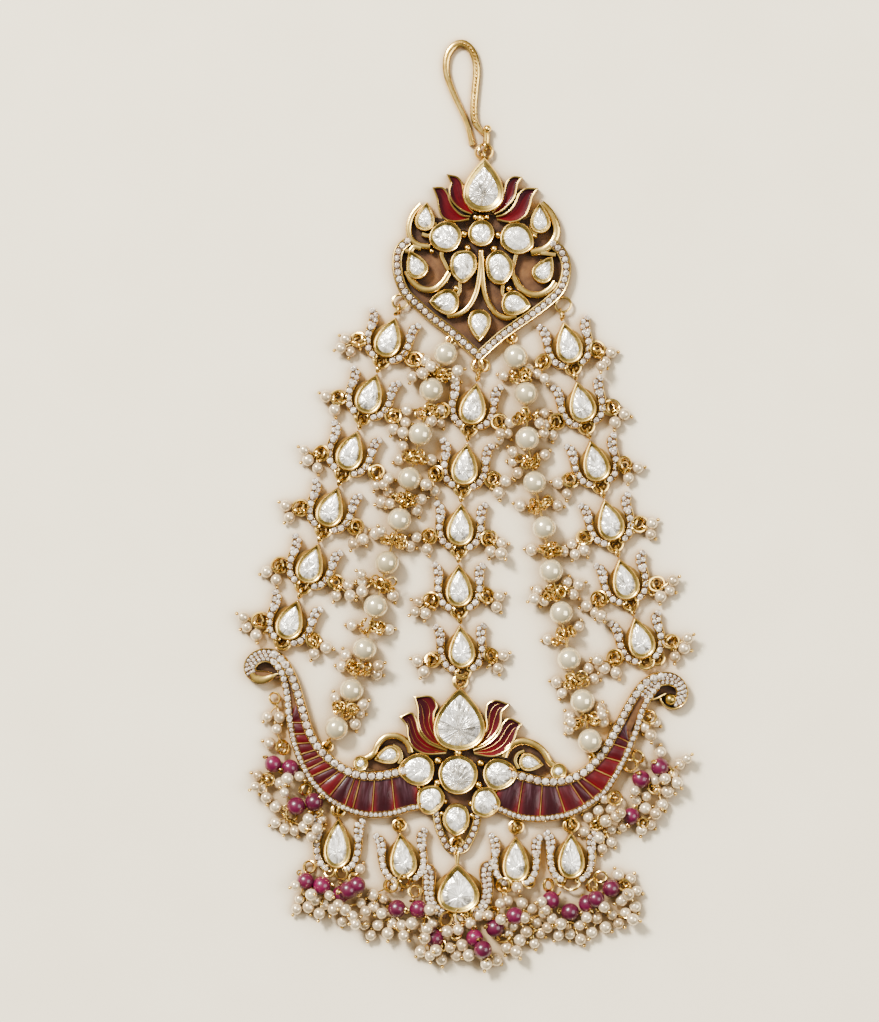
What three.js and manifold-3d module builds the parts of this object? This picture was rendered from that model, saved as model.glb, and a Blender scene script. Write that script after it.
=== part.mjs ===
// A jhoomar: an ornament worn on the side of the head, here lying face up on a table.
// A hair hook carries a pierced crest. Three strands of teardrop links and two strings of pearls
// run from the crest down to an enamelled crescent, which carries five drops and two bead fringes.
// Millimetres. X runs to the wearer's right of the picture, Y towards the hook, Z up out of the face.
import * as THREE from "three";
import { mergeVertices } from "three/addons/utils/BufferGeometryUtils.js";
import Module from "manifold-3d";

const wasm = await Module();
wasm.setup();

// Wire bails and eyes. A bail is a half ring on two legs that lies in the face's plane. An eye is a
// plate on edge, as thick as the wire, with a hole that a bail passes through.
const wireRadius = 0.28;
const wireSides = 5;
const flatRadius = 1.15;
const standingRadius = 0.8;
const halfRingSides = 5;
const eyeEndSides = 4;
const eyeHoleSides = 6;
const eyeHoleRadius = 0.62;
const wireLevel = standingRadius + wireRadius;
const clearance = 0.34;
const neckLength = 1.1;
const legOverlap = 0.5;

// Castings and stones.
const stoneSides = 10;
const linkStoneSides = 8;
const bezelWall = 0.55;
const bezelHeight = 2.2;
const smallBezelHeight = 1.9;
const pocketFloor = 0.6;
const seatClearance = 0.12;
const stoneRise = 0.6;
const tableShare = 0.55;
const plateHeight = 1.9;
const scrollHeight = 1.6;
const scrollWidth = 0.95;
const backHeight = 0.7;

// The links of the three strands, and the drops.
const linkWidth = 5.1;
const wingHeight = 1.5;
const dropLength = 8.1;
const bigDropWidth = 7.9;
const bigDropLength = 9.0;

// Beads.
const pearlRadius = 2.35;
const rubyRadius = 1.7;
const beadSides = 10;
const beadBands = 4;
const rubyBands = 3;

// The crest: its layout is in shares of crestRadius.
const crestRadius = 15.2;
const borderWidth = 1.9;
const crestSideEye = { x: 1.02, y: -0.66 };
const crestTipEye = { x: 0, y: -1.447 };
const crestPearlEye = { x: 0.37, y: -1.1 };
const hookRingRadius = 1.45;
const hookRingSides = 12;

// The crescent: its layout is in shares of crescentReach, which is half its width.
const crescentReach = 42.4;
const crescentPlace = { x: -1.8, y: -50.5, turn: -3 };

// The crest stands above the crescent by fallLength, from middle to middle.
const fallLength = 97.8;
const crestPlace = { x: 2.6, y: crescentPlace.y + fallLength, turn: -1.5 };
const paveWidth = 1.2;
const spacerRadius = 0.4;
const hornEye = { x: 0.822, y: 0.518 };
const crescentTopEye = 0.43;

// Settings of the crest, right side and middle. Width, length, x and y are shares of crestRadius,
// point runs from 0 for an oval to 1 for a teardrop, and turn is in degrees from tip up.
const crestSettings = [
  { name: "top_stone", x: 0, y: 0.9, width: 0.55, length: 0.69, point: 1, turn: 0, loose: true },
  { name: "round_stone", x: 0, y: 0.33, width: 0.345, length: 0.345, point: 0, turn: 0, loose: true },
  { name: "upper_stone", x: 0.45, y: 0.25, width: 0.39, length: 0.44, point: 0.3, turn: -105, loose: true },
  { name: "middle_stone", x: 0.228, y: -0.09, width: 0.355, length: 0.43, point: 0.3, turn: 172, loose: true },
  { name: "shoulder", x: 0.73, y: 0.5, width: 0.28, length: 0.37, point: 1, turn: 10, loose: false },
  { name: "side", x: 0.8, y: -0.11, width: 0.31, length: 0.4, point: 1, turn: -30, loose: false },
  { name: "leaf", x: 0.46, y: -0.555, width: 0.31, length: 0.41, point: 0.8, turn: -100, loose: false },
  { name: "foot", x: 0, y: -0.87, width: 0.32, length: 0.47, point: 0.8, turn: 180, loose: false },
];

// Scrolls of the crest's right side: centre and radius in shares of crestRadius, from and to in degrees.
const crestScrolls = [
  { x: 0, y: 0, radius: 0.975, from: 6, to: 50 },
  { x: 0.69, y: 0.275, radius: 0.185, from: -150, to: 5 },
  { x: 0.67, y: -0.16, radius: 0.29, from: -175, to: -5 },
];

// The stem of the crest, from under the middle stones out to the leaf, in shares of crestRadius.
const crestStem = [
  { x: 0.02, y: -0.15 },
  { x: 0.04, y: -0.36 },
  { x: 0.1, y: -0.57 },
  { x: 0.24, y: -0.72 },
  { x: 0.41, y: -0.735 },
  { x: 0.56, y: -0.66 },
];

// The stone-set border's centreline, from its upper end round the side and down to the point.
const crestBorder = [
  { x: 0.91, y: 0.215 },
  { x: 1.005, y: 0.15 },
  { x: 1.045, y: -0.035 },
  { x: 1.005, y: -0.275 },
  { x: 0.95, y: -0.37 },
  { x: 0, y: -1.175 },
];

// Short bridges that solder the crest's side settings to its border and scrolls.
const crestBridges = [
  { x: 0.86, y: -0.1, toX: 1.0, toY: -0.06 },
  { x: 0.76, y: -0.22, toX: 0.7, toY: -0.44 },
  { x: 0.8, y: 0.42, toX: 0.89, toY: 0.3 },
];

// The plate behind the crest's middle stones, right half from top to bottom.
const crestBack = [
  { x: 0, y: 0.66 },
  { x: 0.48, y: 0.42 },
  { x: 0.4, y: 0.06 },
  { x: 0.24, y: -0.2 },
  { x: 0, y: -0.2 },
];

// Lotus petals beside a teardrop, in shares of the teardrop's length, from the teardrop's lower end.
const innerPetal = [
  { x: 0.27, y: 0.03 },
  { x: 0.47, y: 0.18 },
  { x: 0.6, y: 0.36 },
  { x: 0.66, y: 0.56 },
  { x: 0.72, y: 0.85 },
  { x: 0.54, y: 0.9 },
  { x: 0.39, y: 0.76 },
  { x: 0.47, y: 0.5 },
  { x: 0.42, y: 0.29 },
];
const outerPetal = [
  { x: 0.27, y: 0.03 },
  { x: 0.27, y: -0.08 },
  { x: 0.62, y: -0.06 },
  { x: 0.85, y: 0.2 },
  { x: 0.96, y: 0.54 },
  { x: 0.8, y: 0.62 },
  { x: 0.66, y: 0.56 },
  { x: 0.6, y: 0.36 },
  { x: 0.47, y: 0.18 },
];
const crestPetals = { spread: 1.04, rise: 0.82 };
const crescentPetals = { spread: 1, rise: 1 };
const petalWall = 0.4;
const petalHeight = 1.7;

// Settings of the crescent, in shares of crescentReach.
const crescentSettings = [
  { name: "top_stone", x: 0, y: 0.237, width: 0.227, length: 0.276, point: 0.85, turn: 0, loose: true },
  { name: "round_stone", x: 0, y: 0, width: 0.18, length: 0.18, point: 0, turn: 0, loose: true },
  { name: "side_stone", x: 0.188, y: 0.009, width: 0.148, length: 0.16, point: 0.35, turn: -90, loose: true },
  { name: "lower_stone", x: 0.125, y: -0.125, width: 0.134, length: 0.134, point: 0.15, turn: 160, loose: true },
  { name: "foot_stone", x: 0, y: -0.205, width: 0.122, length: 0.142, point: 0.35, turn: 180, loose: true },
  { name: "paisley", x: 0.335, y: 0.062, width: 0.096, length: 0.15, point: 1, turn: -112, loose: false },
  { name: "dot", x: 0.445, y: 0.012, width: 0.072, length: 0.072, point: 0, turn: 0, loose: false },
];

// One horn from the middle out to its curled end: centreline and half width, in shares of crescentReach.
const horn = [
  { x: 0.202, y: -0.07, half: 0.095 },
  { x: 0.291, y: -0.099, half: 0.1 },
  { x: 0.386, y: -0.114, half: 0.096 },
  { x: 0.478, y: -0.103, half: 0.087 },
  { x: 0.565, y: -0.058, half: 0.08 },
  { x: 0.635, y: 0.006, half: 0.073 },
  { x: 0.69, y: 0.088, half: 0.062 },
  { x: 0.731, y: 0.179, half: 0.05 },
  { x: 0.762, y: 0.256, half: 0.043 },
  { x: 0.786, y: 0.327, half: 0.038 },
  { x: 0.803, y: 0.377, half: 0.036 },
];
const curl = [
  { x: 0.803, y: 0.377, half: 0.036 },
  { x: 0.825, y: 0.435, half: 0.034 },
  { x: 0.861, y: 0.471, half: 0.033 },
  { x: 0.915, y: 0.475, half: 0.031 },
  { x: 0.96, y: 0.444, half: 0.03 },
  { x: 0.969, y: 0.397, half: 0.03 },
  { x: 0.937, y: 0.372, half: 0.03 },
  { x: 0.892, y: 0.376, half: 0.026 },
  { x: 0.85, y: 0.39, half: 0.014 },
];
const inlayStart = { x: 0.275, y: -0.094, half: 0.099 };
const inlayStations = 9;

// The scroll above each paisley, and the plate behind the crescent's middle, right half from top to bottom.
const crescentScroll = { x: 0.335, y: 0.058, radius: 0.08, from: -70, to: 190 };
const crescentBack = [
  { x: 0, y: 0.13 },
  { x: 0.2, y: 0.08 },
  { x: 0.24, y: -0.03 },
  { x: 0.13, y: -0.17 },
  { x: 0, y: -0.24 },
];

// The stone-set bib below the foot stone, right half of its centreline.
const bib = [
  { x: 0.115, y: -0.18 },
  { x: 0.075, y: -0.255 },
  { x: 0, y: -0.305 },
];
const bibEye = -0.345;

// Where things hang from a horn's outer edge, as shares of its length from the middle.
const nearDropShare = 0.08;
const farDropShare = 0.36;
const fringeShare = 0.68;
const pearlShare = 0.6;

// Routes, chosen from how the piece lies. A bow is how far a strand's middle stands off its chord.
const strands = [
  { name: "left", links: 6, bow: 0.3 },
  { name: "centre", links: 5, bow: -2.1 },
  { name: "right", links: 6, bow: -0.5 },
];
// A pearl string's points: x in millimetres, and how far it has fallen as a share of fallLength.
const pearlRoutes = {
  left: [
    { x: -6.9, fall: 0.257 },
    { x: -11.1, fall: 0.429 },
    { x: -15.4, fall: 0.592 },
    { x: -19.6, fall: 0.76 },
  ],
  right: [
    { x: 11.0, fall: 0.264 },
    { x: 12.6, fall: 0.437 },
    { x: 15.8, fall: 0.608 },
    { x: 19.1, fall: 0.779 },
  ],
};
const pearlsPerString = 10;
const pearlEndGap = 3.4;

// The plates under a link and under the big drop, right half from foot to tip, in shares of the
// setting's width and length. Each spreads into two stone-set wings.
const linkPlate = [
  { x: 0, y: -0.52 },
  { x: 0.62, y: -0.5 },
  { x: 0.88, y: -0.26 },
  { x: 0.93, y: 0.36 },
  { x: 0.64, y: 0.26 },
  { x: 0.48, y: 0.06 },
  { x: 0, y: 0.6 },
];
const bigDropPlate = [
  { x: 0, y: -0.52 },
  { x: 0.56, y: -0.46 },
  { x: 0.75, y: -0.1 },
  { x: 0.6, y: 0.64 },
  { x: 0.3, y: 0.42 },
  { x: 0, y: 0.6 },
];

// The beads of each fringe from left to right, in millimetres from the eye that it hangs from.
const fringes = {
  left_fringe: [
    { x: -4.2, y: -1.4 },
    { x: -0.8, y: -6.0 },
    { x: 3.0, y: -5.2 },
  ],
  right_fringe: [
    { x: -1.4, y: -8.6 },
    { x: 2.2, y: -4.8 },
    { x: 5.2, y: -1.6 },
  ],
  drop_1: [
    { x: -5.0, y: -3.2 },
    { x: -1.8, y: -5.0 },
    { x: 2.6, y: -5.0 },
  ],
  drop_2: [
    { x: -2.1, y: -6.0 },
    { x: 1.9, y: -6.0 },
  ],
  drop_3: [
    { x: -5.4, y: -4.8 },
    { x: -1.6, y: -8.0 },
    { x: 3.4, y: -8.4 },
    { x: 5.9, y: -4.2 },
  ],
  drop_4: [
    { x: -2.6, y: -5.2 },
    { x: 1.0, y: -6.2 },
  ],
  drop_5: [
    { x: -3.7, y: -4.4 },
    { x: 0.2, y: -6.4 },
    { x: 4.2, y: -4.6 },
  ],
};
const stripWidth = 0.7;

// The hook's route, from its free end round the loop to the ball.
const hookWidth = 1.3;
const hookThickness = 1.0;
const hookBallRadius = 0.85;
// Its points are millimetres from the eye that the hook's ring is held by.
const hookRoute = [
  { x: -2.69, y: -0.74 },
  { x: -3.49, y: 3.86 },
  { x: -4.89, y: 7.66 },
  { x: -6.59, y: 11.46 },
  { x: -7.09, y: 14.86 },
  { x: -6.09, y: 17.66 },
  { x: -4.29, y: 18.76 },
  { x: -2.49, y: 17.56 },
  { x: -1.59, y: 14.56 },
  { x: -1.59, y: 5.86 },
  { x: -1.09, y: 3.06 },
  { x: 0.31, y: 2.66 },
];

const gold = new THREE.MeshStandardMaterial({ color: 0xcfa250, roughness: 0.35, metalness: 1 });
const foiledGlass = new THREE.MeshStandardMaterial({ color: 0xe2e2de, roughness: 0.15, metalness: 0.5 });
const redEnamel = new THREE.MeshStandardMaterial({ color: 0x7a0f22, roughness: 0.2, metalness: 0.1 });
const pearl = new THREE.MeshStandardMaterial({ color: 0xe8dfcf, roughness: 0.3, metalness: 0 });
const ruby = new THREE.MeshStandardMaterial({ color: 0x6e1348, roughness: 0.3, metalness: 0 });

// A closed three.js geometry as a solid.
function solidOf(geometry) {
  const bare = geometry.index ? geometry.toNonIndexed() : geometry.clone();
  bare.deleteAttribute("normal");
  bare.deleteAttribute("uv");
  const merged = mergeVertices(bare, 1e-4);
  const vertProperties = new Float32Array(merged.attributes.position.array);
  const triVerts = new Uint32Array(merged.index.array);
  return new wasm.Manifold(new wasm.Mesh({ numProp: 3, vertProperties, triVerts }));
}

const fuse = (geometries) => geometries.map(solidOf).reduce((sum, next) => sum.add(next));

// A solid as a named mesh.
function meshOf(name, solid, material) {
  const { vertProperties, triVerts } = solid.getMesh();
  const geometry = new THREE.BufferGeometry();
  geometry.setAttribute("position", new THREE.BufferAttribute(new Float32Array(vertProperties), 3));
  geometry.setIndex(new THREE.BufferAttribute(new Uint32Array(triVerts), 1));
  geometry.computeVertexNormals();
  const mesh = new THREE.Mesh(geometry, material);
  mesh.name = name;
  return mesh;
}

const vectors = (rows, unit) => rows.map(({ x, y }) => new THREE.Vector2(x * unit, y * unit));

// An outline on the right side, or its mirror image on the left, always counter-clockwise.
function onSide(outline, side) {
  if (side > 0) return outline;
  return outline.map((p) => new THREE.Vector2(-p.x, p.y)).reverse();
}

// The plan of a stone: an ellipse at point 0, a teardrop at point 1, its tip towards +Y.
function dropOutline(width, length, point, sides = stoneSides) {
  const widest = -point / (2 + point);
  const reach = Math.sqrt(1 - widest ** 2) * ((1 - widest) / 2) ** (point / 2);
  return Array.from({ length: sides }, (_, k) => {
    const turn = (2 * Math.PI * k) / sides;
    const across = (Math.sin(turn) * Math.sin(turn / 2) ** point) / reach;
    return new THREE.Vector2((-across * width) / 2, (Math.cos(turn) * length) / 2);
  });
}

// A closed body through outlines of equal length, each at its own height.
function loft(layers) {
  const sides = layers[0].outline.length;
  const positions = layers.flatMap(({ outline, z }) => outline.flatMap((p) => [p.x, p.y, z]));
  const index = [];
  for (let layer = 0; layer + 1 < layers.length; layer++) {
    for (let k = 0; k < sides; k++) {
      const a = layer * sides + k;
      const b = layer * sides + ((k + 1) % sides);
      index.push(a, b, b + sides, a, b + sides, a + sides);
    }
  }
  const top = (layers.length - 1) * sides;
  for (const [a, b, c] of THREE.ShapeUtils.triangulateShape(layers[0].outline, [])) {
    index.push(c, b, a, top + a, top + b, top + c);
  }
  const geometry = new THREE.BufferGeometry();
  geometry.setAttribute("position", new THREE.Float32BufferAttribute(positions, 3));
  geometry.setIndex(index);
  return geometry;
}

function slab(outline, from, to) {
  const shape = new THREE.Shape(outline);
  const geometry = new THREE.ExtrudeGeometry(shape, { depth: to - from, bevelEnabled: false });
  return geometry.translate(0, 0, from);
}

// The outline of a strip that follows a centreline, with one half width for each of its points.
function stripOutline(line, halves) {
  const near = [];
  const far = [];
  line.forEach((p, k) => {
    const before = p.clone().sub(line[Math.max(k - 1, 0)]).normalize();
    const after = line[Math.min(k + 1, line.length - 1)].clone().sub(p).normalize();
    const along = before.add(after).normalize();
    const miter = k > 0 && k < line.length - 1 ? along.dot(after) : 1;
    const across = new THREE.Vector2(-along.y, along.x).multiplyScalar(halves[k] / miter);
    near.push(p.clone().add(across));
    far.push(p.clone().sub(across));
  });
  return [...far, ...near.reverse()];
}

function strip(line, halves, from, to) {
  const outline = stripOutline(line, halves);
  return slab(THREE.ShapeUtils.isClockWise(outline) ? outline.reverse() : outline, from, to);
}

// A strip of even width along an arc, given by a row of a scroll table.
function scroll({ x, y, radius, from, to }, side, unit) {
  const steps = Math.max(3, Math.round((to - from) / 28));
  const line = Array.from({ length: steps + 1 }, (_, k) => {
    const angle = THREE.MathUtils.degToRad(from + ((to - from) * k) / steps);
    return new THREE.Vector2(side * (x + radius * Math.cos(angle)), y + radius * Math.sin(angle));
  });
  const scaled = line.map((p) => p.multiplyScalar(unit));
  return strip(scaled, scaled.map(() => scrollWidth / 2), 0, scrollHeight);
}

// A straight strip between two points of the plan, given by a row of a table.
function bridge({ x, y, toX, toY }, side, unit) {
  const line = [new THREE.Vector2(side * x * unit, y * unit), new THREE.Vector2(side * toX * unit, toY * unit)];
  return strip(line, line.map(() => scrollWidth / 2), 0, scrollHeight);
}

// A path that runs straight from each given point to the next, with one section at each.
class Route extends THREE.Curve {
  constructor(points) {
    super();
    this.points = points;
  }
  getPoint(t) {
    const at = t * (this.points.length - 1);
    const k = Math.min(Math.floor(at), this.points.length - 2);
    return this.points[k].clone().lerp(this.points[k + 1], at - k);
  }
  getPointAt(t) {
    return this.getPoint(t);
  }
  getTangentAt(t) {
    return this.getTangent(t);
  }
}

// A round wire through points, closed at both ends.
function wire(points, radius = wireRadius) {
  const section = Array.from({ length: wireSides }, (_, k) => {
    const angle = (2 * Math.PI * k) / wireSides;
    return new THREE.Vector2(radius * Math.cos(angle), radius * Math.sin(angle));
  });
  return new THREE.ExtrudeGeometry(new THREE.Shape(section), {
    steps: points.length - 1,
    extrudePath: new Route(points),
    bevelEnabled: false,
  });
}

// A bail round a point, with legs that run to a root and may come closer together there.
function bail(at, root, pinch = 1) {
  const along = new THREE.Vector2(root.x - at.x, root.y - at.y);
  const legs = along.length();
  along.normalize();
  const place = (out, across) => {
    const x = at.x + along.x * out - along.y * across;
    const y = at.y + along.y * out + along.x * across;
    return new THREE.Vector3(x, y, wireLevel);
  };
  const arc = Array.from({ length: halfRingSides + 1 }, (_, k) => {
    const angle = (Math.PI * k) / halfRingSides;
    return place(-flatRadius * Math.sin(angle), flatRadius * Math.cos(angle));
  });
  return wire([place(legs, flatRadius * pinch), ...arc, place(legs, -flatRadius * pinch)]);
}

// A bail whose own wire passes through a point.
function bailThrough(point, root, pinch = 1) {
  const back = new THREE.Vector2(root.x - point.x, root.y - point.y).normalize().multiplyScalar(flatRadius);
  return bail({ x: point.x + back.x, y: point.y + back.y }, root, pinch);
}

function bead(radius, at, bands = beadBands) {
  const ball = new THREE.SphereGeometry(radius, beadSides, bands).rotateX(Math.PI / 2);
  return ball.translate(at.x, at.y, radius);
}

// A standing eye: a plate as thick as the wire, on edge, with a round end and a hole at a point.
function eyePlate(at, root) {
  const along = new THREE.Vector3(root.x - at.x, root.y - at.y, 0);
  const legs = along.length();
  along.normalize();
  const outer = standingRadius + wireRadius;
  const shape = new THREE.Shape();
  for (let k = 0; k <= eyeEndSides; k++) {
    const angle = Math.PI / 2 + (Math.PI * k) / eyeEndSides;
    const p = [outer * Math.cos(angle), outer + outer * Math.sin(angle)];
    if (k === 0) shape.moveTo(...p);
    else shape.lineTo(...p);
  }
  shape.lineTo(legs, 0.15 * outer);
  shape.lineTo(legs, 1.55 * outer);
  const hole = Array.from({ length: eyeHoleSides }, (_, k) => {
    const angle = (2 * Math.PI * (k + 0.5)) / eyeHoleSides;
    return new THREE.Vector2(eyeHoleRadius * Math.cos(angle), outer + eyeHoleRadius * Math.sin(angle));
  });
  shape.holes.push(new THREE.Path(hole));
  const plate = new THREE.ExtrudeGeometry(shape, { depth: 2 * wireRadius, bevelEnabled: false });
  plate.translate(0, 0, -wireRadius);
  const up = new THREE.Vector3(0, 0, 1);
  const across = new THREE.Vector3().crossVectors(along, up);
  plate.applyMatrix4(new THREE.Matrix4().makeBasis(along, up, across));
  return plate.translate(at.x, at.y, 0);
}

// The outer size of a setting, in millimetres, from its row and the unit of its table.
function settingSize(row, unit) {
  return { width: row.width * unit, length: row.length * unit, point: row.point };
}

function bezelOutline({ width, length, point, sides }, inset = 0) {
  const pointed = 1 + point * 0.6;
  return dropOutline(width - 2 * inset, length - 2 * inset * pointed, point, sides);
}

const tableOutline = ({ width, length, point, sides }) =>
  dropOutline(width * tableShare, length * tableShare, point, sides);

// A setting with its stone fused in: wall, crown facets and table.
function setStone(size, height) {
  return loft([
    { outline: bezelOutline(size), z: 0 },
    { outline: bezelOutline(size), z: height },
    { outline: tableOutline(size), z: height + stoneRise },
  ]);
}

// A loose stone: girdle, crown facets and table, standing on the floor of its pocket.
function looseStone(size) {
  const girdle = bezelOutline(size, bezelWall + seatClearance);
  return loft([
    { outline: girdle, z: pocketFloor },
    { outline: girdle, z: bezelHeight },
    { outline: tableOutline(size), z: bezelHeight + stoneRise },
  ]);
}

const pocketOf = (size) => slab(bezelOutline(size, bezelWall), pocketFloor, bezelHeight + 1);

// Places a geometry by a table row: turned by its angle and moved to its x and y, on either side.
function placed(geometry, row, side, unit) {
  geometry.rotateZ(THREE.MathUtils.degToRad(side * row.turn));
  return geometry.translate(side * row.x * unit, row.y * unit, 0);
}

const sidesOf = (row) => (row.x === 0 ? [1] : [-1, 1]);
const sideName = (row, side) => (row.x === 0 ? "" : side < 0 ? "_left" : "_right");

// The settings of one table: bezels and fused stones, the pockets to cut, and the loose stones.
function settings(rows, unit) {
  const bodies = [];
  const pockets = [];
  const stones = [];
  for (const row of rows) {
    const size = settingSize(row, unit);
    for (const side of sidesOf(row)) {
      if (row.loose) {
        bodies.push(placed(slab(bezelOutline(size), 0, bezelHeight), row, side, unit));
        pockets.push(placed(pocketOf(size), row, side, unit));
        const stone = placed(looseStone(size), row, side, unit);
        stones.push({ name: row.name + sideName(row, side), stone });
      } else {
        bodies.push(placed(setStone(size, smallBezelHeight), row, side, unit));
      }
    }
  }
  return { bodies, pockets, stones };
}

// A symmetrical plate from the right half of its outline.
function backPlate(half, unit, height) {
  const right = vectors(half, unit).reverse();
  const left = right.filter((p) => p.x > 0).map((p) => new THREE.Vector2(-p.x, p.y)).reverse();
  return slab([...right, ...left], 0, height);
}

// An outline drawn in towards its middle by a wall.
function inset(outline, wall) {
  return outline.map((p, k) => {
    const before = outline[(k + outline.length - 1) % outline.length];
    const after = outline[(k + 1) % outline.length];
    const into = p.clone().sub(before).normalize();
    const out = after.clone().sub(p).normalize();
    const along = into.clone().add(out).normalize();
    const miter = Math.max(along.dot(out), 0.5);
    return p.clone().add(new THREE.Vector2(-along.y, along.x).multiplyScalar(wall / miter));
  });
}

// The petals beside a teardrop setting: their trays, the pockets in them and the enamel.
function lotus(tear, unit, { spread, rise }) {
  const length = tear.length * unit;
  const root = new THREE.Vector2(tear.x * unit, (tear.y - tear.length / 2) * unit);
  const trays = [];
  const pockets = [];
  const enamels = [];
  for (const [name, rows] of Object.entries({ inner_petal: innerPetal, outer_petal: outerPetal })) {
    for (const side of [-1, 1]) {
      const shares = rows.map(({ x, y }) => ({ x: x * spread, y: y * rise }));
      const outline = onSide(vectors(shares, length), side).map((p) => p.add(root));
      trays.push(slab(inset(outline, -petalWall / 2), 0, petalHeight));
      pockets.push(slab(inset(outline, petalWall / 2), pocketFloor, petalHeight + 1));
      const enamel = slab(inset(outline, petalWall / 2 + seatClearance), pocketFloor, petalHeight - 0.1);
      enamels.push({ name: name + (side < 0 ? "_left" : "_right"), enamel });
    }
  }
  return { trays, pockets, enamels };
}

// A group that stands where a place says, and the ways between its own plan and the whole's.
function groupAt(place) {
  const group = new THREE.Group();
  group.position.set(place.x, place.y, 0);
  group.rotation.z = THREE.MathUtils.degToRad(place.turn);
  group.updateMatrixWorld(true);
  return group;
}

function toWhole(group, p) {
  const moved = new THREE.Vector3(p.x, p.y, 0).applyMatrix4(group.matrixWorld);
  return new THREE.Vector2(moved.x, moved.y);
}

function toGroup(group, p) {
  const moved = group.worldToLocal(new THREE.Vector3(p.x, p.y, 0));
  return new THREE.Vector2(moved.x, moved.y);
}

// A point on a horn's edge, by its share of the stations, with the way that leads off the horn there.
function hornEdge(side, share, outer) {
  const outline = stripOutline(vectors(horn, crescentReach), horn.map(({ half }) => half * crescentReach));
  const edge = outer ? outline.slice(0, horn.length) : outline.slice(horn.length).reverse();
  const at = share * (edge.length - 1);
  const k = Math.min(Math.floor(at), edge.length - 2);
  const point = edge[k].clone().lerp(edge[k + 1], at - k);
  const along = edge[k + 1].clone().sub(edge[k]).normalize();
  const away = outer ? new THREE.Vector2(along.y, -along.x) : new THREE.Vector2(-along.y, along.x);
  point.x *= side;
  away.x *= side;
  return { point, away };
}

// An eye beside a horn's edge for something that hangs a given way: its middle and its root.
function eyeOn({ point, away }, hang) {
  const off = (wireRadius + clearance) / hang.dot(away);
  return {
    at: point.clone().addScaledVector(hang, off),
    root: point.clone().addScaledVector(hang, -2 * legOverlap),
    hang,
  };
}

const whole = new THREE.Group();
const crest = groupAt(crestPlace);
const crescent = groupAt(crescentPlace);
whole.add(crest, crescent);

const crestPoint = (x, y) => new THREE.Vector2(x * crestRadius, y * crestRadius);
const crescentPoint = (x, y) => new THREE.Vector2(x * crescentReach, y * crescentReach);

// The eye at the crest's tip, and the same one as the hook's ring sees it.
const crestTip = crestPoint(0, crestSettings[0].y + crestSettings[0].length / 2);
const crestTopEye = crestTip.clone().add(new THREE.Vector2(0, wireRadius + clearance));

// The ends of the strands: where the crest's bails reach to, and the crescent's standing eyes.
const strandEnds = {
  left: {
    top: toWhole(crest, crestPoint(-crestSideEye.x, crestSideEye.y)),
    foot: toWhole(crescent, crescentPoint(-hornEye.x, hornEye.y)),
  },
  centre: {
    top: toWhole(crest, crestPoint(crestTipEye.x, crestTipEye.y)),
    foot: toWhole(crescent, crescentPoint(0, crescentTopEye)),
  },
  right: {
    top: toWhole(crest, crestPoint(crestSideEye.x, crestSideEye.y)),
    foot: toWhole(crescent, crescentPoint(hornEye.x, hornEye.y)),
  },
};

// The eyes of a strand, evenly spaced along its bowed route.
function strandEyes({ name, links, bow }) {
  const { top, foot } = strandEnds[name];
  const chord = foot.clone().sub(top);
  const off = new THREE.Vector2(chord.y, -chord.x).normalize().multiplyScalar(-2 * bow);
  const middle = top.clone().add(foot).multiplyScalar(0.5).add(off);
  return new THREE.QuadraticBezierCurve(top, middle, foot).getSpacedPoints(links);
}

// A stone in its setting on a winged plate, with the setting's foot and tip at given heights in Y.
function wingedSetting(rows, width, foot, tip) {
  const size = { width, length: tip - foot, point: 1, sides: linkStoneSides };
  const middle = (tip + foot) / 2;
  const right = rows.map(({ x, y }) => new THREE.Vector2(x * width, y * size.length + middle));
  const left = right.filter((p) => p.x > 0).map((p) => new THREE.Vector2(-p.x, p.y)).reverse();
  const stone = loft([
    { outline: bezelOutline(size), z: wingHeight / 2 },
    { outline: bezelOutline(size), z: bezelHeight },
    { outline: tableOutline(size), z: bezelHeight + stoneRise },
  ]);
  return [slab([...right, ...left], 0, wingHeight), stone.translate(0, middle, 0)];
}

// A link hung from its eye at the origin, down to the point where the next link hangs.
function linkSolid(pitch) {
  const tip = -wireRadius - clearance - neckLength;
  const foot = -pitch + 2 * flatRadius - legOverlap;
  return fuse([
    ...wingedSetting(linkPlate, linkWidth, foot, tip),
    eyePlate({ x: 0, y: 0 }, { x: 0, y: tip - legOverlap }),
    bailThrough({ x: 0, y: -pitch }, { x: 0, y: foot + legOverlap }),
  ]);
}

// A drop hung from its bail through the origin, with an eye at its foot.
function dropSolid(rows, width, length) {
  const tip = -2 * flatRadius - neckLength / 2;
  return fuse([
    ...wingedSetting(rows, width, tip - length, tip),
    bailThrough({ x: 0, y: 0 }, { x: 0, y: tip - legOverlap }, 0.3),
    eyePlate({ x: 0, y: dropFoot(length) }, { x: 0, y: tip - length + legOverlap }),
  ]);
}

const dropFoot = (length) => -2 * flatRadius - neckLength / 2 - length - wireRadius - clearance;

// Turns and moves a mesh so that its own -Y runs from one point of the plan towards another.
function hang(mesh, from, to) {
  mesh.position.set(from.x, from.y, 0);
  mesh.rotation.z = Math.atan2(to.x - from.x, from.y - to.y);
  return mesh;
}

for (const strand of strands) {
  const eyes = strandEyes(strand);
  for (let k = 0; k < strand.links; k++) {
    const pitch = eyes[k].distanceTo(eyes[k + 1]);
    const link = meshOf(`${strand.name}_link_${k + 1}`, linkSolid(pitch), gold);
    whole.add(hang(link, eyes[k], eyes[k + 1]));
  }
}

// The crest's flat bail that a strand's first link hangs from.
function crestBail(name, root) {
  return bailThrough(toGroup(crest, strandEnds[name].top), root);
}

// The points that a pearl string runs through between its two ends.
const routeOf = (name) =>
  pearlRoutes[name].map(({ x, fall }) => new THREE.Vector2(x, crestPlace.y - fall * fallLength));

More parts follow.
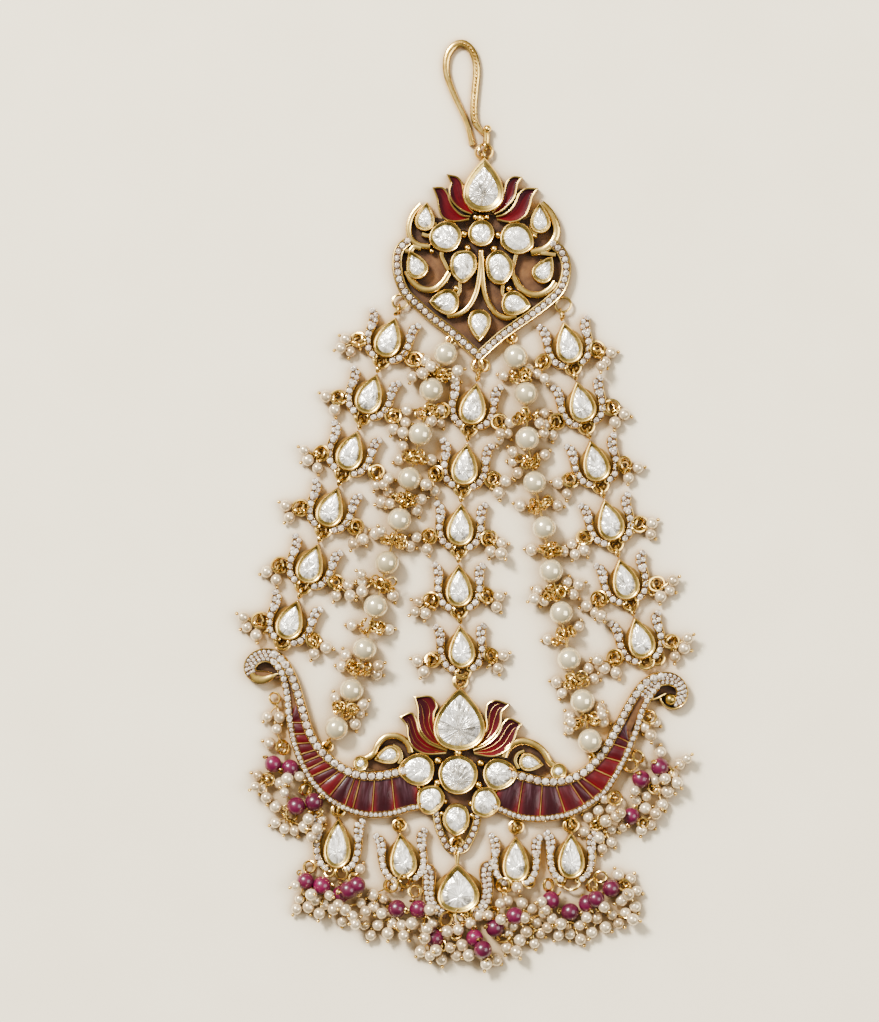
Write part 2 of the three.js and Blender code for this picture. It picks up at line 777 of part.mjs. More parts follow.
// Where a pearl string's first eye lies in the crest's plan, and the root of the bail that holds it.
const pearlHeads = [-1, 1].map((side) => {
  const at = crestPoint(side * crestPearlEye.x, crestPearlEye.y);
  const first = toGroup(crest, routeOf(side < 0 ? "left" : "right")[0]);
  const back = at.clone().sub(first).normalize();
  return { at, root: at.clone().addScaledVector(back, 2 * flatRadius + borderWidth / 2) };
});

function makeCrest() {
  const unit = crestRadius;
  const parts = settings(crestSettings, unit);
  const { trays, pockets, enamels } = lotus(crestSettings[0], unit, crestPetals);
  const rightBorder = vectors(crestBorder, unit);
  const leftBorder = rightBorder.slice(0, -1).map((p) => new THREE.Vector2(-p.x, p.y)).reverse();
  const border = [...rightBorder, ...leftBorder];
  const stem = vectors(crestStem, unit);
  const mirrorStem = stem.map((p) => new THREE.Vector2(-p.x, p.y));
  const halfStem = stem.map(() => scrollWidth / 2);
  const corner = rightBorder[4];
  const point = rightBorder.at(-1);
  const frame = fuse([
    ...parts.bodies,
    ...trays,
    strip(border, border.map(() => borderWidth / 2), 0, plateHeight),
    strip(stem, halfStem, 0, scrollHeight),
    strip(mirrorStem, halfStem, 0, scrollHeight),
    ...crestScrolls.flatMap((row) => [scroll(row, 1, unit), scroll(row, -1, unit)]),
    ...crestBridges.flatMap((row) => [bridge(row, 1, unit), bridge(row, -1, unit)]),
    backPlate(crestBack, unit, backHeight),
    crestBail("left", { x: -corner.x, y: corner.y }),
    crestBail("right", corner),
    crestBail("centre", point),
    eyePlate(crestTopEye, crestTip.clone().add(new THREE.Vector2(0, -2 * legOverlap))),
    ...pearlHeads.map(({ at, root }) => bailThrough(at, root)),
  ]).subtract(fuse([...parts.pockets, ...pockets]));
  crest.add(meshOf("crest_frame", frame, gold));
  parts.stones.forEach(({ name, stone }) => crest.add(meshOf(`crest_${name}`, solidOf(stone), foiledGlass)));
  enamels.forEach(({ name, enamel }) => crest.add(meshOf(`crest_${name}`, solidOf(enamel), redEnamel)));
}

// Ways to hang in the crescent's plan: straight down in the whole, or partly off a horn's edge.
const down = toGroup(crescent, { x: 0, y: -1 }).sub(toGroup(crescent, { x: 0, y: 0 }));
const aslant = (edge) => down.clone().lerp(edge.away, 0.6).normalize();

const hornEyeFor = (side, share, way) => {
  const edge = hornEdge(side, share, true);
  return eyeOn(edge, way ? way(edge) : down);
};
const drops = [
  { name: "drop_1", ...hornEyeFor(-1, farDropShare) },
  { name: "drop_2", ...hornEyeFor(-1, nearDropShare) },
  { name: "drop_3", at: crescentPoint(0, bibEye), root: crescentPoint(0, bib.at(-1).y), hang: down },
  { name: "drop_4", ...hornEyeFor(1, nearDropShare) },
  { name: "drop_5", ...hornEyeFor(1, farDropShare) },
];
const sideFringes = [
  { name: "left_fringe", ...hornEyeFor(-1, fringeShare, aslant) },
  { name: "right_fringe", ...hornEyeFor(1, fringeShare, aslant) },
];

// Where a pearl string's last eye lies, and the root of the bail on a horn's inner edge that holds it.
const pearlFeet = [-1, 1].map((side) => {
  const { point } = hornEdge(side, pearlShare, false);
  const last = toGroup(crescent, routeOf(side < 0 ? "left" : "right").at(-1));
  const way = last.sub(point).normalize();
  return {
    at: point.clone().addScaledVector(way, 2 * flatRadius),
    root: point.clone().addScaledVector(way, -2 * legOverlap),
  };
});

function makeCrescent() {
  const unit = crescentReach;
  const parts = settings(crescentSettings, unit);
  const { trays, pockets, enamels } = lotus(crescentSettings[0], unit, crescentPetals);
  const horns = [];
  const channels = [];
  const hornEyes = [];
  for (const side of [-1, 1]) {
    const stations = (rows) => rows.map(({ x, y }) => crescentPoint(side * x, y));
    const halves = (rows, less) => rows.map(({ half }) => half * unit - less);
    horns.push(strip(stations(horn), halves(horn, 0), 0, plateHeight));
    horns.push(strip(stations(curl), halves(curl, 0), 0, plateHeight));
    const inlay = [inlayStart, ...horn.slice(1, inlayStations)];
    channels.push(strip(stations(inlay), halves(inlay, paveWidth), pocketFloor, plateHeight + 1));
    const fill = strip(stations(inlay), halves(inlay, paveWidth + seatClearance), pocketFloor, plateHeight - 0.1);
    enamels.push({ name: `inlay${side < 0 ? "_left" : "_right"}`, enamel: fill });
    const onto = crescentPoint(side * curl[2].x, curl[2].y);
    hornEyes.push(eyePlate(crescentPoint(side * hornEye.x, hornEye.y), onto));
  }
  const bibLine = vectors(bib, unit);
  const leftBib = bibLine.slice(0, -1).map((p) => new THREE.Vector2(-p.x, p.y)).reverse();
  const wholeBib = [...bibLine, ...leftBib];
  const tearTip = crescentPoint(0, crescentSettings[0].y + crescentSettings[0].length / 2 - 0.02);
  const frame = fuse([
    ...horns,
    backPlate(crescentBack, unit, backHeight),
    strip(wholeBib, wholeBib.map(() => paveWidth * 0.75), 0, scrollHeight),
    ...[-1, 1].map((side) => scroll(crescentScroll, side, unit)),
    eyePlate(crescentPoint(0, crescentTopEye), tearTip),
    ...hornEyes,
    ...[...drops, ...sideFringes].map(({ at, root }) => eyePlate(at, root)),
    ...pearlFeet.map(({ at, root }) => bailThrough(at, root)),
  ])
    .subtract(fuse(channels))
    .add(fuse([...parts.bodies, ...trays]))
    .subtract(fuse([...parts.pockets, ...pockets]));
  crescent.add(meshOf("crescent_frame", frame, gold));
  parts.stones.forEach(({ name, stone }) => crescent.add(meshOf(`crescent_${name}`, solidOf(stone), foiledGlass)));
  enamels.forEach(({ name, enamel }) => crescent.add(meshOf(`crescent_${name}`, solidOf(enamel), redEnamel)));
}

makeCrest();
makeCrescent();

// The five drops, and a fringe of beads below each and beside each horn.
const bigDrop = [bigDropPlate, bigDropWidth, bigDropLength];

// A fringe: a ring at the origin, strips that spread from it, and a bead at the end of each.
function fringeSolid(rows) {
  const neck = -2 * flatRadius - neckLength / 2;
  const half = stripWidth / 2;
  const strips = rows.flatMap(({ x, y }, k) => {
    const next = rows[k + 1];
    const across = new THREE.Vector2(-(y - neck), x).normalize().multiplyScalar(-half);
    const tips = [new THREE.Vector2(x + across.x, y + across.y), new THREE.Vector2(x - across.x, y - across.y)];
    if (!next) return tips;
    return [...tips, new THREE.Vector2((x + next.x) * 0.1, neck - stripWidth)];
  });
  const outline = [new THREE.Vector2(-half, neck), ...strips, new THREE.Vector2(half, neck)];
  return fuse([
    bailThrough({ x: 0, y: 0 }, { x: 0, y: neck - legOverlap / 2 }, 0.15),
    slab(outline, wireLevel - wireRadius, wireLevel + wireRadius),
    ...rows.map((at) => bead(rubyRadius, at, rubyBands)),
  ]);
}

for (const { name, at, hang: way } of [...drops, ...sideFringes]) {
  const eye = toWhole(crescent, at);
  const along = toWhole(crescent, at.clone().add(way)).sub(eye);
  const from = (reach) => eye.clone().addScaledVector(along, reach);
  if (name.startsWith("drop")) {
    const [rows, width, length] = name === "drop_3" ? bigDrop : [linkPlate, linkWidth, dropLength];
    const foot = from(-dropFoot(length));
    whole.add(hang(meshOf(name, dropSolid(rows, width, length), gold), eye, foot));
    const fringe = meshOf(`${name}_fringe`, fringeSolid(fringes[name]), ruby);
    whole.add(hang(fringe, foot, foot.clone().add(along)));
  } else {
    whole.add(hang(meshOf(name, fringeSolid(fringes[name]), ruby), eye, from(1)));
  }
}

// Beads on a wire as one body: rings of points round each bead and down to the wire between.
function beadedWire(centres) {
  const turns = Array.from({ length: beadBands - 1 }, (_, k) => (Math.PI * (k + 1)) / beadBands);
  const pole = Math.asin(spacerRadius / pearlRadius);
  const positions = [];
  centres.forEach((centre, k) => {
    const before = centres[Math.max(k - 1, 0)];
    const after = centres[Math.min(k + 1, centres.length - 1)];
    const along = after.clone().sub(before).normalize();
    const across = new THREE.Vector3(-along.y, along.x, 0);
    for (const turn of [pole, ...turns, Math.PI - pole]) {
      const middle = centre.clone().addScaledVector(along, -pearlRadius * Math.cos(turn));
      for (let side = 0; side < beadSides; side++) {
        const angle = (2 * Math.PI * side) / beadSides;
        const point = middle.clone().addScaledVector(across, pearlRadius * Math.sin(turn) * Math.cos(angle));
        positions.push(point.x, point.y, point.z + pearlRadius * Math.sin(turn) * Math.sin(angle));
      }
    }
  });
  const rings = positions.length / 3 / beadSides;
  const index = [];
  for (let ring = 0; ring + 1 < rings; ring++) {
    for (let side = 0; side < beadSides; side++) {
      const a = ring * beadSides + side;
      const b = ring * beadSides + ((side + 1) % beadSides);
      index.push(a, b, b + beadSides, a, b + beadSides, a + beadSides);
    }
  }
  const end = (rings - 1) * beadSides;
  for (let side = 1; side + 1 < beadSides; side++) {
    index.push(0, side + 1, side, end, end + side, end + side + 1);
  }
  const geometry = new THREE.BufferGeometry();
  geometry.setAttribute("position", new THREE.Float32BufferAttribute(positions, 3));
  geometry.setIndex(index);
  return geometry;
}

// The two strings of pearls, each with an eye at both ends.
[-1, 1].forEach((side, k) => {
  const name = side < 0 ? "left" : "right";
  const start = toWhole(crest, pearlHeads[k].at);
  const end = toWhole(crescent, pearlFeet[k].at);
  const lift = (p) => new THREE.Vector3(p.x, p.y, pearlRadius);
  const route = new THREE.CatmullRomCurve3([start, ...routeOf(name), end].map(lift));
  const inset = pearlEndGap / route.getLength();
  const centres = Array.from({ length: pearlsPerString }, (_, bead) =>
    route.getPointAt(inset + ((1 - 2 * inset) * bead) / (pearlsPerString - 1)),
  );
  const last = centres.at(-1);
  const solid = fuse([beadedWire(centres), eyePlate(start, centres[0]), eyePlate(end, last)]);
  whole.add(meshOf(`${name}_pearl_string`, solid, pearl));
});

// The hook: a flat band with a ball and a bail at its foot, and the ring that joins it to the crest.
const topEye = toWhole(crest, crestTopEye);
const up = toWhole(crest, crestTopEye.clone().add(new THREE.Vector2(0, 1))).sub(topEye);
const hookRing = new THREE.TorusGeometry(hookRingRadius, wireRadius, wireSides, hookRingSides);
const ringCentre = topEye.clone().addScaledVector(up, hookRingRadius);
hookRing.translate(ringCentre.x, ringCentre.y, wireLevel);
whole.add(meshOf("hook_ring", solidOf(hookRing), gold));

const hookEye = topEye.clone().addScaledVector(up, 2 * hookRingRadius);
const hookLine = hookRoute.map(({ x, y }) => new THREE.Vector2(hookEye.x + x, hookEye.y + y));
const hookBall = hookLine.at(-1);
const hook = fuse([
  strip(hookLine, hookLine.map(() => hookWidth / 2), 0, hookThickness),
  bead(hookBallRadius, hookBall),
  eyePlate(hookEye, hookBall),
]);
whole.add(meshOf("hair_hook", hook, gold));

// Sets the origin under the middle of the whole.
const bounds = new THREE.Box3().setFromObject(whole, true);
const middle = bounds.getCenter(new THREE.Vector3());
whole.children.forEach((child) => child.position.add(new THREE.Vector3(-middle.x, -middle.y, -bounds.min.z)));

export default whole;
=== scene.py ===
"""The finished look of a jhoomar: cast gold settings, cut stones, enamel, pearls and bead fringes.

Lengths are millimetres in the part's own frame until a piece is made, which is in metres. Places that
were measured on the photograph are given in its pixels and go through Photo.
"""

from __future__ import annotations

import logging
import math
from dataclasses import dataclass, field
from enum import Enum, IntEnum

import bpy
import numpy as np
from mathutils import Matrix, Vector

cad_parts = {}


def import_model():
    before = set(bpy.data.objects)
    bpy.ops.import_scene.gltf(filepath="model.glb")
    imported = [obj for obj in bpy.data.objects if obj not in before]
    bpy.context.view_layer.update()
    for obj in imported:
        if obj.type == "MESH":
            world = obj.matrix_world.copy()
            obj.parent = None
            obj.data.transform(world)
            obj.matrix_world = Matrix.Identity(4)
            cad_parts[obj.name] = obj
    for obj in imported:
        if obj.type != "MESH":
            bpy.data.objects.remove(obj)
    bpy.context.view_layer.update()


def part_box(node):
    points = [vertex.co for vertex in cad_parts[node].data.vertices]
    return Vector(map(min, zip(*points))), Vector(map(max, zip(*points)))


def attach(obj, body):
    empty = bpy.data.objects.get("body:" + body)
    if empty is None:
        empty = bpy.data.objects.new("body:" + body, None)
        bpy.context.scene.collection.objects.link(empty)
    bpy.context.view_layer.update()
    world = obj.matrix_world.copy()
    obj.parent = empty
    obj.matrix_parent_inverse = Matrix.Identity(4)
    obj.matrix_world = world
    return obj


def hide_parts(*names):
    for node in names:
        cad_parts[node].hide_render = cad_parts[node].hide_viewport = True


LOG = logging.getLogger("jhoomar")
MM = 0.001
# Where the middle of crest_round_stone lies on the photograph, in millimetres from its middle pixel.
ROUND_STONE = (2.731, 52.314)
UP = np.array([0.0, 0.0, 1.0])


class Coat(IntEnum):
    """What a face is finished in, which is also its place in the list of materials."""

    GOLD = 0
    BEVEL = 1
    # Sides of bars, settings and channels, and the lower rings in coils, take a browner, darker gold: painted
    # shade, since these lie in shade. Fine lines use it as their colour.
    WALL = 2
    FOIL = 3
    PAVE = 4
    ENAMEL = 5
    PEARL = 6
    SEED = 7
    RUBY = 8
    # A dark brown gold for plates behind openings and for channel floors: painted shade, standing for the
    # shaded table and the shade in gaps.
    SHADED_RECESS = 9
    FOIL_SMALL = 10
    WIRE = 11
    PETAL = 12


class Slot(Enum):
    """The record's names of its material slots."""

    GOLD = "gold"
    GLASS = "foiled_glass"
    ENAMEL = "red_enamel"
    PEARL = "pearl"
    RUBY = "ruby_bead"


# Shapes


@dataclass
class Shape:
    """Points and faces, with a coat for each face and a local mark for each point."""

    points: np.ndarray
    loops: np.ndarray
    sizes: np.ndarray
    coats: np.ndarray
    smooth: np.ndarray
    local: np.ndarray

    @classmethod
    def of(cls, points: np.ndarray, faces: list, coats: int | list, smooth: bool = True) -> Shape:
        """Makes a shape from a list of faces.

        Args:
            points: one row for each point.
            faces: the point numbers of each face, counter-clockwise from outside.
            coats: one coat for all faces, or a list of one for each.
            smooth: whether the faces shade smoothly.

        Returns:
            The shape.
        """
        points = np.asarray(points, float)
        sizes = np.array([len(f) for f in faces], int)
        loops = np.concatenate([np.asarray(f, int) for f in faces])
        kinds = np.full(len(faces), coats) if np.isscalar(coats) else np.asarray(coats, int)
        return cls(points, loops, sizes, kinds, np.full(len(faces), smooth), np.zeros_like(points))

    @classmethod
    def joined(cls, shapes: list[Shape]) -> Shape:
        """Joins shapes into one.

        Args:
            shapes: the shapes.

        Returns:
            The shape of them all.
        """
        starts = np.cumsum([0] + [len(s.points) for s in shapes[:-1]])
        loops = [s.loops + start for s, start in zip(shapes, starts)]
        return cls(
            np.vstack([s.points for s in shapes]),
            np.concatenate(loops),
            np.concatenate([s.sizes for s in shapes]),
            np.concatenate([s.coats for s in shapes]),
            np.concatenate([s.smooth for s in shapes]),
            np.vstack([s.local for s in shapes]),
        )

    def placed(self, at: np.ndarray, matrix: np.ndarray | None = None, seed: float | None = None) -> Shape:
        """A copy that is turned by a matrix and then moved.

        Args:
            at: where the origin goes.
            matrix: three rows that turn or scale the points, or None.
            seed: a number that the finish varies by, or None to keep the marks.

        Returns:
            The copy.
        """
        points = self.points if matrix is None else self.points @ np.asarray(matrix).T
        local = self.local
        if seed is not None:
            local = local.copy()
            local[:, 2] = seed
        return Shape(points + np.asarray(at, float), self.loops, self.sizes, self.coats, self.smooth, local)

    def marked(self, local: np.ndarray) -> Shape:
        """The same shape with other marks."""
        return Shape(self.points, self.loops, self.sizes, self.coats, self.smooth, np.asarray(local, float))


def skin(
    grid: np.ndarray,
    coats: int | list,
    closed: bool = False,
    by_row: bool = False,
    flip: bool = False,
    caps: tuple[bool, bool] = (True, True),
    smooth: bool = True,
) -> Shape:
    """Covers a grid of points whose rows are rings.

    Args:
        grid: rows of rings of points.
        coats: one coat, or one for each column, or with by_row one for each step between rows.
        closed: whether the last row meets the first.
        by_row: whether coats goes by row.
        flip: turns the faces round, for rings that run counter-clockwise along the way.
        caps: whether the first and the last ring are filled.
        smooth: whether the faces shade smoothly.

    Returns:
        The shape.
    """
    rows, columns = grid.shape[:2]
    i = np.arange(rows if closed else rows - 1)[:, None]
    j = np.arange(columns)[None, :]
    after_i, after_j = (i + 1) % rows, (j + 1) % columns
    a, b = i * columns + j, i * columns + after_j
    c, d = after_i * columns + after_j, after_i * columns + j
    quads = np.stack([a, b, c, d] if flip else [a, d, c, b], -1).reshape(-1, 4)
    if np.isscalar(coats):
        kinds = np.full(a.shape, coats)
    else:
        wanted = np.asarray(coats, int)
        kinds = np.broadcast_to(wanted[:, None] if by_row else wanted[None, :], a.shape)
    faces = quads.tolist()
    kinds = kinds.ravel().tolist()
    if not closed:
        ends = [(list(range(columns)), flip), (list(range((rows - 1) * columns, rows * columns)), not flip)]
        for (ring, backwards), wanted, k in zip(ends, caps, (0, -1)):
            if wanted:
                faces.append(ring[::-1] if backwards else ring)
                kinds.append(kinds[0] if k == 0 else kinds[-1])
    return Shape.of(grid.reshape(-1, 3), faces, kinds, smooth)


def unit(vectors: np.ndarray) -> np.ndarray:
    """Vectors of length one."""
    length = np.linalg.norm(vectors, axis=-1, keepdims=True)
    return vectors / np.maximum(length, 1e-9)


def aim(way: np.ndarray) -> np.ndarray:
    """The matrix that turns Z to a direction.

    Args:
        way: the direction.

    Returns:
        Three rows for Shape.placed.
    """
    z = unit(np.asarray(way, float))
    x = unit(np.cross([0.31, 0.2, 1.0] if abs(z[2]) < 0.9 else [1.0, 0.3, 0.0], z))
    return np.stack([x, np.cross(z, x), z], 1)


def turn_about_z(degrees: float) -> np.ndarray:
    """The matrix of a turn in the plan, counter-clockwise."""
    c, s = math.cos(math.radians(degrees)), math.sin(math.radians(degrees))
    return np.array([[c, -s, 0.0], [s, c, 0.0], [0.0, 0.0, 1.0]])


def resampled(points: np.ndarray, count: int, closed: bool = False) -> np.ndarray:
    """Points at even distances along a line of points.

    Args:
        points: the line's points, in a plan or in space.
        count: how many points it returns.
        closed: whether the line ends where it begins, so that its last point is left out.

    Returns:
        The points.
    """
    points = np.asarray(points, float)
    steps = np.linalg.norm(np.diff(points, axis=0), axis=1)
    run = np.concatenate([[0.0], np.cumsum(steps)])
    at = np.linspace(0.0, run[-1], count + 1 if closed else count)
    if closed:
        at = at[:-1]
    return np.stack([np.interp(at, run, points[:, k]) for k in range(points.shape[1])], 1)


def smooth_curve(points: np.ndarray, count: int, closed: bool = False) -> np.ndarray:
    """A smooth curve through points, at even distances.

    Args:
        points: the points that it passes through, in a plan or in space.
        count: how many points it returns.
        closed: whether it runs back to its first point.

    Returns:
        The curve's points.
    """
    p = np.asarray(points, float)
    if closed:
        p = np.vstack([p[-1], p, p[0], p[1]])
    else:
        p = np.vstack([2 * p[0] - p[1], p, 2 * p[-1] - p[-2]])
    run = np.concatenate([[0.0], np.cumsum(np.linalg.norm(np.diff(p, axis=0), axis=1))])
    s = np.linspace(0.0, 1.0, 12, endpoint=False)[:, None]
    dense = []
    for k in range(1, len(p) - 2):
        step = run[k + 1] - run[k]
        leave = (p[k + 1] - p[k - 1]) / (run[k + 1] - run[k - 1]) * step
        arrive = (p[k + 2] - p[k]) / (run[k + 2] - run[k]) * step
        dense.append(
            (2 * s**3 - 3 * s**2 + 1) * p[k]
            + (s**3 - 2 * s**2 + s) * leave
            + (3 * s**2 - 2 * s**3) * p[k + 1]
            + (s**3 - s**2) * arrive
        )
    return resampled(np.vstack([*dense, p[-2][None]]), count, closed)


def length_of(path: np.ndarray) -> float:
    """The length of a line of points."""
    return float(np.linalg.norm(np.diff(path, axis=0), axis=1).sum())


def sideways(path: np.ndarray, closed: bool) -> np.ndarray:
    """The way to the left at each point of a plan line, longer at corners so that a band keeps its width.

    Args:
        path: the line's points in the plan.
        closed: whether it runs back to its start.

    Returns:
        One row for each point.
    """
    after = unit(np.roll(path, -1, 0) - path)
    before = unit(path - np.roll(path, 1, 0))
    if not closed:
        after[-1], before[0] = before[-1], after[0]
    along = unit(before + after)
    miter = np.clip((along * after).sum(1), 0.55, 1.0)
    return np.stack([-along[:, 1], along[:, 0]], 1) / miter[:, None]


def sweep(
    path: np.ndarray,
    section: list[tuple[float, float]],
    coats: int | list,
    closed: bool = False,
    widths: np.ndarray | None = None,
    lift: float = 0.0,
) -> Shape:
    """A bar along a plan line.

    Args:
        path: the line's points in the plan.
        section: (across, height) pairs from the right foot over the top to the left foot.
        coats: one coat, or one for each side of the section.
        closed: whether the line runs back to its start.
        widths: a factor on across for each point of the line, or None.
        lift: a height that is added.

    Returns:
        The shape.
    """
    rows = np.asarray(section, float)
    side = sideways(path[:, :2], closed)
    factor = np.ones(len(path)) if widths is None else np.asarray(widths)
    grid = np.empty((len(path), len(rows), 3))
    grid[:, :, :2] = path[:, None, :2] + side[:, None, :] * rows[None, :, :1] * factor[:, None, None]
    grid[:, :, 2] = rows[None, :, 1] + lift
    return skin(grid, coats, closed=closed)


def ribbon(left: np.ndarray, right: np.ndarray, section: list, coats: int | list) -> Shape:
    """A body between two plan lines with an equal number of points.

    Args:
        left: the line on the left of the way along it.
        right: the line on its right.
        section: (share, offset, height) rows, right foot first, where share runs from 0 at the right line
            to 1 at the left one and offset adds millimetres towards the left.
        coats: one coat, or one for each side of the section.

    Returns:
        The shape.
    """
    rows = np.asarray(section, float)
    across = left - right
    way = unit(across)
    grid = np.empty((len(left), len(rows), 3))
    grid[:, :, :2] = right[:, None] + across[:, None] * rows[None, :, :1] + way[:, None] * rows[None, :, 1:2]
    grid[:, :, 2] = rows[None, :, 2]
    return skin(grid, coats)


def flat_plate(outline: np.ndarray, low: float, high: float, coat: int = Coat.SHADED_RECESS) -> Shape:
    """A flat plate of a closed outline between two heights.

    Args:
        outline: the closed outline's points, in either sense.
        low: the lower height.
        high: the upper height.
        coat: its coat; by default the dark recess gold, which is painted shade.

    Returns:
        The plate.
    """
    x, y = outline[:, 0], outline[:, 1]
    if (x * np.roll(y, -1) - np.roll(x, -1) * y).sum() < 0:
        outline = outline[::-1]
    grid = np.array([np.column_stack([outline[:, :2], np.full(len(outline), z)]) for z in (low, high)])
    return skin(grid, coat, flip=True)


def tube(
    path: np.ndarray, radius: float | np.ndarray, sides: int = 8, closed: bool = False, coat: int = 0
) -> Shape:
    """A round wire along points in space.

    Args:
        path: the points of its middle line.
        radius: the wire's radius, or one for each point.
        sides: how many sides its section has.
        closed: whether it runs back to its start.
        coat: its coat.

    Returns:
        The wire.
    """
    path = np.asarray(path, float)
    after = np.roll(path, -1, 0) - path
    before = path - np.roll(path, 1, 0)
    if not closed:
        after[-1], before[0] = before[-1], after[0]
    along = unit(unit(before) + unit(after))
    first = np.cross(along[0], UP if abs(along[0][2]) < 0.8 else [1.0, 0.0, 0.0])
    normals = [unit(first)]
    for way in along[1:]:
        normals.append(unit(normals[-1] - way * (normals[-1] @ way)))
    normal = np.array(normals)
    other = np.cross(along, normal)
    angle = -2 * np.pi * np.arange(sides) / sides
    radii = np.broadcast_to(np.asarray(radius, float), (len(path),))
    ring = normal[:, None] * np.cos(angle)[None, :, None] + other[:, None] * np.sin(angle)[None, :, None]
    return skin(path[:, None] + ring * radii[:, None, None], coat, closed=closed)


def hoop(
    centre: np.ndarray, radius: float, normal: np.ndarray, wire: float, sides: int = 18, stretch: float = 1.0,
    coat: int = Coat.WIRE,
) -> Shape:
    """A round or oval ring of wire, lifted where it would dip below the floor.

    Args:
        centre: its middle.
        radius: the radius of the wire's middle line.
        normal: the way that its opening faces.
        wire: the wire's radius.
        sides: how many straight pieces it has.
        stretch: its length over its width.
        coat: its coat.

    Returns:
        The ring.
    """
    angle = 2 * np.pi * np.arange(sides) / sides
    flat = np.stack([radius * np.cos(angle), radius * stretch * np.sin(angle), 0 * angle], 1)
    line = np.asarray(centre, float) + flat @ aim(normal).T
    line[:, 2] += max(0.0, wire + 0.02 - line[:, 2].min())
    return tube(line, wire, 7, closed=True, coat=coat)


def ball(radius: float, around: int, bands: int, coat: int, squash: float = 1.0) -> Shape:
    """A round bead about the origin, with its axis along Z.

    Args:
        radius: its radius.
        around: how many sides it has.
        bands: how many bands from pole to pole.
        coat: its coat.
        squash: its height over its width.

    Returns:
        The bead.
    """
    polar = np.linspace(0.1, np.pi - 0.1, bands + 1)
    angle = 2 * np.pi * np.arange(around) / around
    grid = np.empty((bands + 1, around, 3))
    grid[:, :, 0] = radius * np.sin(polar)[:, None] * np.cos(angle)
    grid[:, :, 1] = radius * np.sin(polar)[:, None] * np.sin(angle)
    grid[:, :, 2] = radius * squash * np.cos(polar)[:, None]
    return skin(grid, coat)


@dataclass(frozen=True)
class Outline:
    """The plan of a setting: an oval at point 0 and a teardrop at point 1, its tip towards +Y."""

    width: float
    length: float
    point: float
    wobble: float = 0.0
    phase: float = 0.0

    def ring(self, inset: float, sides: int = 48, share: float = 1.0) -> np.ndarray:
        """The outline's points, drawn in by an inset and then scaled, counter-clockwise from the tip.

        Args:
            inset: how far it is drawn in.
            sides: how many points it has.
            share: the factor that it is scaled by.

        Returns:
            The points in the plan.
        """
        top = inset * (1 + 0.45 * self.point)
        width, length = self.width - 2 * inset, self.length - inset - top
        widest = -self.point / (2 + self.point)
        reach = math.sqrt(1 - widest**2) * ((1 - widest) / 2) ** (self.point / 2)
        turn = 2 * np.pi * np.arange(sides) / sides
        across = np.sin(turn) * np.sin(turn / 2) ** self.point / reach
        uneven = 1 + self.wobble * (np.cos(3 * turn + self.phase) + 0.6 * np.cos(5 * turn + 2 * self.phase))
        x = -across * width / 2 * uneven * share
        y = np.cos(turn) * length / 2 * uneven * share + (inset - top) / 2
        return np.stack([x, y], 1)


def layered(outline: Outline, rows: list[tuple[float, float]], coats: list, sides: int = 48) -> Shape:
    """A body of rings of one outline, each (inset, height), from its foot to its middle."""
    grid = np.array([np.column_stack([outline.ring(i, sides), np.full(sides, z)]) for i, z in rows])
    return skin(grid, coats, by_row=True, flip=True, caps=(True, False))


# Jeweller's pieces


